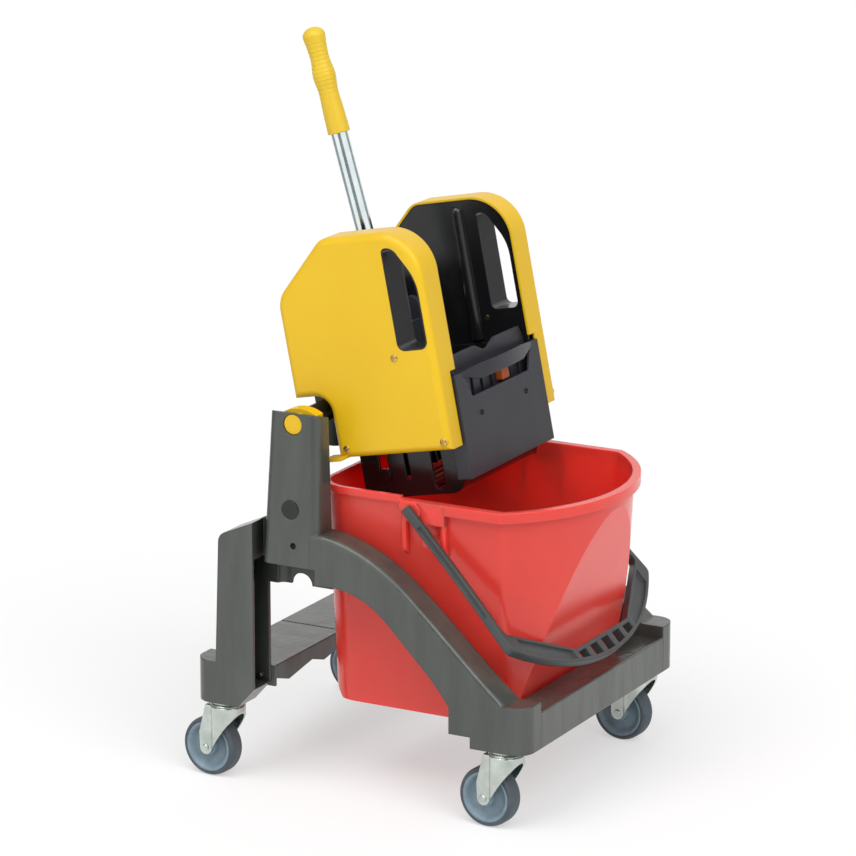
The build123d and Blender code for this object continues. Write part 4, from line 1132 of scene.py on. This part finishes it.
@dataclass
class Studio:
    """White floor and world, soft lamps, grey cards and the camera."""

    azimuth: float = -61.42
    elevation: float = 15.01
    distance: float = 5.437
    aim: Point = (-0.0088, 0.0072, 0.4309)
    lens: float = 185.65
    sensor: float = 36.0
    sight: float = 120.0
    floor_half: float = 30.0
    floor_tone: float = 0.93
    floor_swing: float = 0.01
    floor_waves: float = 0.4
    floor_glow: float = 0.5
    world_level: float = 0.4
    lamps: tuple[Lamp, ...] = (
        Lamp("key", -32.0, 42.0, 1.4, 40.0),
        Lamp("fill", -110.0, 30.0, 0.3, 70.0),
        Lamp("top", -100.0, 62.0, 1.3, 40.0),
    )
    cards: tuple[Card, ...] = (
        Card("card_front", -70.0, 1.1, 3.2),
        Card("card_right", 45.0, 1.2, 3.2),
        Card("card_left", -167.0, 0.45, 1.0),
    )
    card_tone: float = 0.38
    card_swing: float = 0.02
    card_waves: float = 0.8
    card_height: float = 3.0
    drift_detail: float = 1.0

    def toward(self, azimuth: float, elevation: float) -> Vector:
        """Point from the object towards a viewer.

        Args:
            azimuth: Degrees round the object, 0 in front.
            elevation: Degrees up.

        Returns:
            Unit direction.
        """
        turn, rise = math.radians(azimuth), math.radians(elevation)
        flat = math.cos(rise)
        return Vector((math.sin(turn) * flat, -math.cos(turn) * flat, math.sin(rise)))

    def camera(self) -> None:
        """Set the camera at the photograph's view."""
        back = self.toward(self.azimuth, self.elevation)
        data = bpy.data.cameras.new("camera")
        data.lens = self.lens
        data.sensor_width = self.sensor
        data.clip_end = self.sight
        item = bpy.data.objects.new("camera", data)
        item.location = Vector(self.aim) + back * self.distance
        item.rotation_euler = back.to_track_quat("Z", "Y").to_euler()
        bpy.context.scene.collection.objects.link(item)
        bpy.context.scene.camera = item

    def light(self) -> None:
        """Hang the soft lamps round the object."""
        for lamp in self.lamps:
            data = bpy.data.lights.new(lamp.name, "SUN")
            data.energy = lamp.power
            data.angle = math.radians(lamp.spread)
            item = bpy.data.objects.new(lamp.name, data)
            back = self.toward(lamp.azimuth, lamp.elevation)
            item.rotation_euler = back.to_track_quat("Z", "Y").to_euler()
            bpy.context.scene.collection.objects.link(item)

    def seen(self, tree: bpy.types.NodeTree) -> Socket:
        """Tell whether a ray shows the background: camera, glossy and transmission rays.

        Args:
            tree: Node tree to add to.

        Returns:
            Value of 1 for those rays.
        """
        path = tree.nodes.new("ShaderNodeLightPath")
        result = path.outputs["Is Camera Ray"]
        for other in ("Is Glossy Ray", "Is Transmission Ray"):
            larger = tree.nodes.new("ShaderNodeMath")
            larger.operation = "MAXIMUM"
            tree.links.new(result, larger.inputs[0])
            tree.links.new(path.outputs[other], larger.inputs[1])
            result = larger.outputs["Value"]
        return result

    def world(self) -> None:
        """Light the world evenly, and show it white."""
        world = bpy.data.worlds.new("studio")
        world.use_nodes = True
        tree = world.node_tree
        lit = tree.nodes["Background"]
        lit.inputs["Strength"].default_value = self.world_level
        lit.inputs["Color"].default_value = WHITE
        white = tree.nodes.new("ShaderNodeBackground")
        white.inputs["Color"].default_value = WHITE
        mix = tree.nodes.new("ShaderNodeMixShader")
        tree.links.new(self.seen(tree), mix.inputs["Fac"])
        tree.links.new(lit.outputs["Background"], mix.inputs[1])
        tree.links.new(white.outputs["Background"], mix.inputs[2])
        tree.links.new(mix.outputs["Shader"], tree.nodes["World Output"].inputs["Surface"])
        bpy.context.scene.world = world

    def matt(self, sheet: NodeSheet, tone: float, swing: float, waves: float) -> Socket:
        """Add a matt grey that drifts a little.

        Args:
            sheet: Where to add it.
            tone: Its darker tone.
            swing: How much lighter the other tone is.
            waves: Waves in a metre.

        Returns:
            The surface.
        """
        surface = sheet.add("ShaderNodeBsdfDiffuse")
        cloud = sheet.spread(sheet.noise(waves, self.drift_detail))
        sheet.join(sheet.tones(cloud, (tone,) * 3, (tone + swing,) * 3), surface.inputs["Color"])
        return surface.outputs["BSDF"]

    def panel(self, name: str, corners: list[Point], sheet: NodeSheet) -> bpy.types.Object:
        """Make a flat panel that isn't part of the trolley.

        Args:
            name: Name of the object.
            corners: Its four corners in turn.
            sheet: Its material.

        Returns:
            The object.
        """
        mesh = bpy.data.meshes.new(name)
        mesh.from_pydata(corners, [], [(0, 1, 2, 3)])
        mesh.materials.append(sheet.material)
        item = bpy.data.objects.new(name, mesh)
        bpy.context.scene.collection.objects.link(item)
        return item

    def floor(self) -> None:
        """Lay the pale floor, shown half white, so that the shadow on it stays light."""
        sheet = NodeSheet("studio_floor")
        grey = self.matt(sheet, self.floor_tone, self.floor_swing, self.floor_waves)
        white = sheet.add("ShaderNodeEmission")
        share = sheet.add("ShaderNodeMath", operation="MULTIPLY")
        share.inputs[1].default_value = self.floor_glow
        sheet.join(self.seen(sheet.tree), share.inputs[0])
        mix = sheet.add("ShaderNodeMixShader")
        sheet.join(share.outputs["Value"], mix.inputs["Fac"])
        sheet.join(grey, mix.inputs[1])
        sheet.join(white.outputs["Emission"], mix.inputs[2])
        sheet.join(mix.outputs["Shader"], sheet.output.inputs["Surface"])
        half = self.floor_half
        corners = [(-half, -half, 0.0), (half, -half, 0.0), (half, half, 0.0), (-half, half, 0.0)]
        self.panel("floor", corners, sheet)

    def grey_cards(self) -> None:
        """Stand grey cards round the object, which only shiny surfaces show."""
        sheet = NodeSheet("studio_card")
        grey = self.matt(sheet, self.card_tone, self.card_swing, self.card_waves)
        sheet.join(grey, sheet.output.inputs["Surface"])
        top = Vector((0.0, 0.0, self.card_height))
        for card in self.cards:
            out = self.toward(card.azimuth, 0.0)
            side = Vector((-out.y, out.x, 0.0)) * card.half
            foot = out * card.distance
            corners = (foot - side, foot + side, foot + side + top, foot - side + top)
            item = self.panel(card.name, [corner[:] for corner in corners], sheet)
            item.visible_camera = False
            item.visible_diffuse = False
            item.visible_shadow = False

    def build(self) -> None:
        """Set up the studio."""
        self.world()
        self.floor()
        self.grey_cards()
        self.light()
        self.camera()
        bpy.context.scene.view_settings.view_transform = "Standard"


def main() -> None:
    """Load the trolley, build and dress its pieces, and set up the studio."""
    logging.basicConfig(level=logging.INFO)
    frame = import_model()
    nodes = frame["nodes"]
    joints = {joint["name"]: joint for joint in frame["joints"]}
    paints = Paints()
    castors = (Castor(corner, joints) for corner in Corner)
    for part in (Chassis(), BucketAndBail(), Press(joints), Lever(joints), *castors):
        part.build(nodes, paints)
    Studio().build()


if __name__ == "__main__":
    main()
